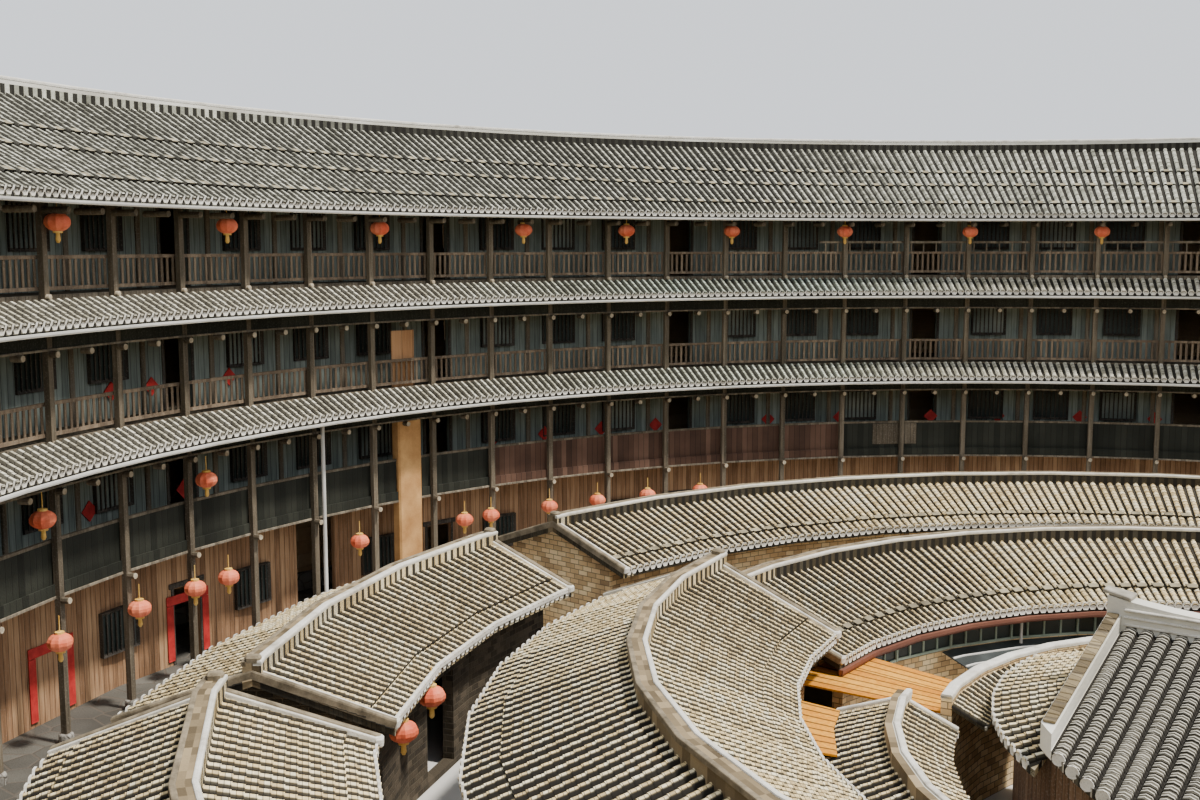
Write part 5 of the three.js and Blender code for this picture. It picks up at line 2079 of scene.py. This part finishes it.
# %% Rows of the court's front passage
front_values = {
    "Rows": COURT_ROWS,
    "Ridge_radius": COURT_FRONT["ridge"],
    "Inner_run": 1.0,
    "Outer_run": 1.2,
    "Inner_courses": 12,
    "Outer_courses": 14,
    "Centre_Y": COURT_Y,
}
front_width = row_width((COURT_FRONT["inner"], COURT_FRONT["ridge"]), COURT_ROWS)
front_tiles = tile_finish(
    "court_front_tiles", ring_tiles, TAN_TILES, front_values, front_width, ridge=(0.135, 2.6, 0.0)
)
for side, courses in (("inner", 6), ("outer", 7)):
    made = ring_rows(
        (COURT_FRONT[side], COURT_FRONT["ridge"]),
        (COURT_FRONT["eave"], COURT_FRONT["top"]),
        COURT_ROWS, RING_FACETS, COURT_FRONT["span"], courses, centre_y=COURT_Y,
    )
    put_away(made, f"court_front_{side}_rows", front_tiles)

# %% [markdown]
# The court's rows end in smaller round ends. A line of lime runs along the ridge of the passage and
# along the top of the lean-to, and down the four verges of the passage.

# %% Ends and ridges of the court's ring
COURT_END = 0.075
court_ends = []
for radius, place, inward in (
    (COURT_BACK["low"], COURT_BACK, True),
    (COURT_FRONT["inner"], COURT_FRONT, True),
    (COURT_FRONT["outer"], COURT_FRONT, False),
):
    made = tile_ends(
        radius, place["eave"], COURT_ROWS, RING_FACETS, place["span"], inward, COURT_END, COURT_Y
    )
    court_ends.append(made)
put_away(join(court_ends), "court_row_ends", lime)
court_lime = [
    strip((7.56, 2.66), (7.68, 2.78), COURT_FRONT["span"], RING_FACETS, 0.03, COURT_Y),
    strip((6.84, 2.66), (7.06, 2.74), COURT_BACK["span"], RING_FACETS, 0.03, COURT_Y),
]
for bearing, side in ((COURT_FRONT["span"][0], 1), (COURT_FRONT["span"][1], -1)):
    for slope in ("inner", "outer"):
        ends = (COURT_FRONT[slope], COURT_FRONT["ridge"])
        heights = (COURT_FRONT["eave"], COURT_FRONT["top"])
        line = verge_line(ends, heights, bearing, 0.08 * side, (0.1, 0.14))
        line.location.y = COURT_Y
        court_lime.append(settle(line))
put_away(join(court_lime), "court_ridges", lime)

# %% [markdown]
# Red posts carry the verandah in front of the hall, twelve degrees apart. One worn block is
# repeated round the court's own middle.

# %% Posts of the court's verandah
VERANDAH = {"posts": 13, "step": 12, "first": 198}
post = block((0.13, 0.13, 2.02), (6.85, 0, 1.02), 0.02)
posts = around(post, VERANDAH["posts"], VERANDAH["step"], VERANDAH["first"], COURT_Y)
put_away(posts, "court_posts", red_timber)

# %% Finishes of the roof slabs in the court
for name, finish in (
    ("hall_roof", hall_finish),
    ("wing_roof_left", wing_finish),
    ("wing_roof_right", wing_finish),
    ("court_back_roof", back_tiles),
    ("court_front_roof", front_tiles),
):
    nodes[name].material_slots[0].material = finish
    print(name, "has", finish.name)

# %% [markdown]
# ## The outer wall
# The windows of the upper storeys have timber frames and bars. They are joined from plain blocks,
# because their holes are real ones in the solids. Each gate has a surround of dressed stone, with
# wedge-shaped stones round the arch, and two plank leaves that stand open inside.

# %% Windows of the earth wall
WINDOW_EVERY = 15  # degrees
WALL_FACES = {3: 31.03, 4: 30.93}  # the wall's radius at the windows, as it leans in
wall_windows = []
for storey, face in WALL_FACES.items():
    sill = DECKS[storey] + 0.95
    jambs = [block((0.12, 0.07, 0.8), (face, side * 0.28, sill + 0.4), 0.01) for side in (-1, 1)]
    rails = [block((0.16, 0.74, 0.08), (face, 0, height), 0.012) for height in (sill, sill + 0.8)]
    bar = block((0.035, 0.035, 0.8), (face, -0.14, sill + 0.4), 0.006)
    window = join(jambs + rails + [in_line(bar, 3, (0, 0.14, 0))])
    wall_windows.append(around(window, 360 // WINDOW_EVERY, WINDOW_EVERY, FRONT))
put_away(join(wall_windows), "wall_window_frames", dark_timber)

# %% [markdown]
# The main gate is wider and higher than the two side gates. The wedges of an arch are all alike, so
# each is the same block, leaned over by its place on the half circle. Plain blocks are enough here,
# because the gaps between them open to 6 cm at most.

# %% Gate surrounds and leaves
GATES = ((FRONT, 1.9, 2.15), (180, 1.4, 1.9), (0, 1.4, 1.9))  # bearing, width, springing
VOUSSOIRS = 11
SURROUND_R = 31.34
LEAF_R = 30.3
JOINT = 0.015
surrounds = []
leaves = []
for bearing, width, spring in GATES:
    middle_r = width / 2 + 0.17
    stones = []
    for side in (-1, 1):
        for number in range(4):
            place = (SURROUND_R, side * middle_r, (number + 0.5) * spring / 4)
            stones.append(block((0.26, 0.34, spring / 4 - JOINT), place, 0.02))
    wedge = math.pi / VOUSSOIRS
    for number in range(VOUSSOIRS):
        stone = block((0.26, middle_r * wedge - JOINT, 0.34), (0, 0, middle_r), 0.02)
        stone.rotation_euler.x = (number + 0.5) * wedge - math.pi / 2
        stone.location = (SURROUND_R, 0, spring)
        stones.append(settle(stone))
    surrounds.append(turned(join(stones), bearing))
    for side in (-1, 1):
        place = (LEAF_R, side * (width / 2 - 0.05), 0.17 + spring / 2)
        leaf = block((width / 2, 0.06, spring), place, 0.01)
        leaves.append(turned(leaf, bearing))
put_away(join(surrounds), "gate_surrounds", footing_stone)
put_away(join(leaves), "gate_leaves", brown_planks)
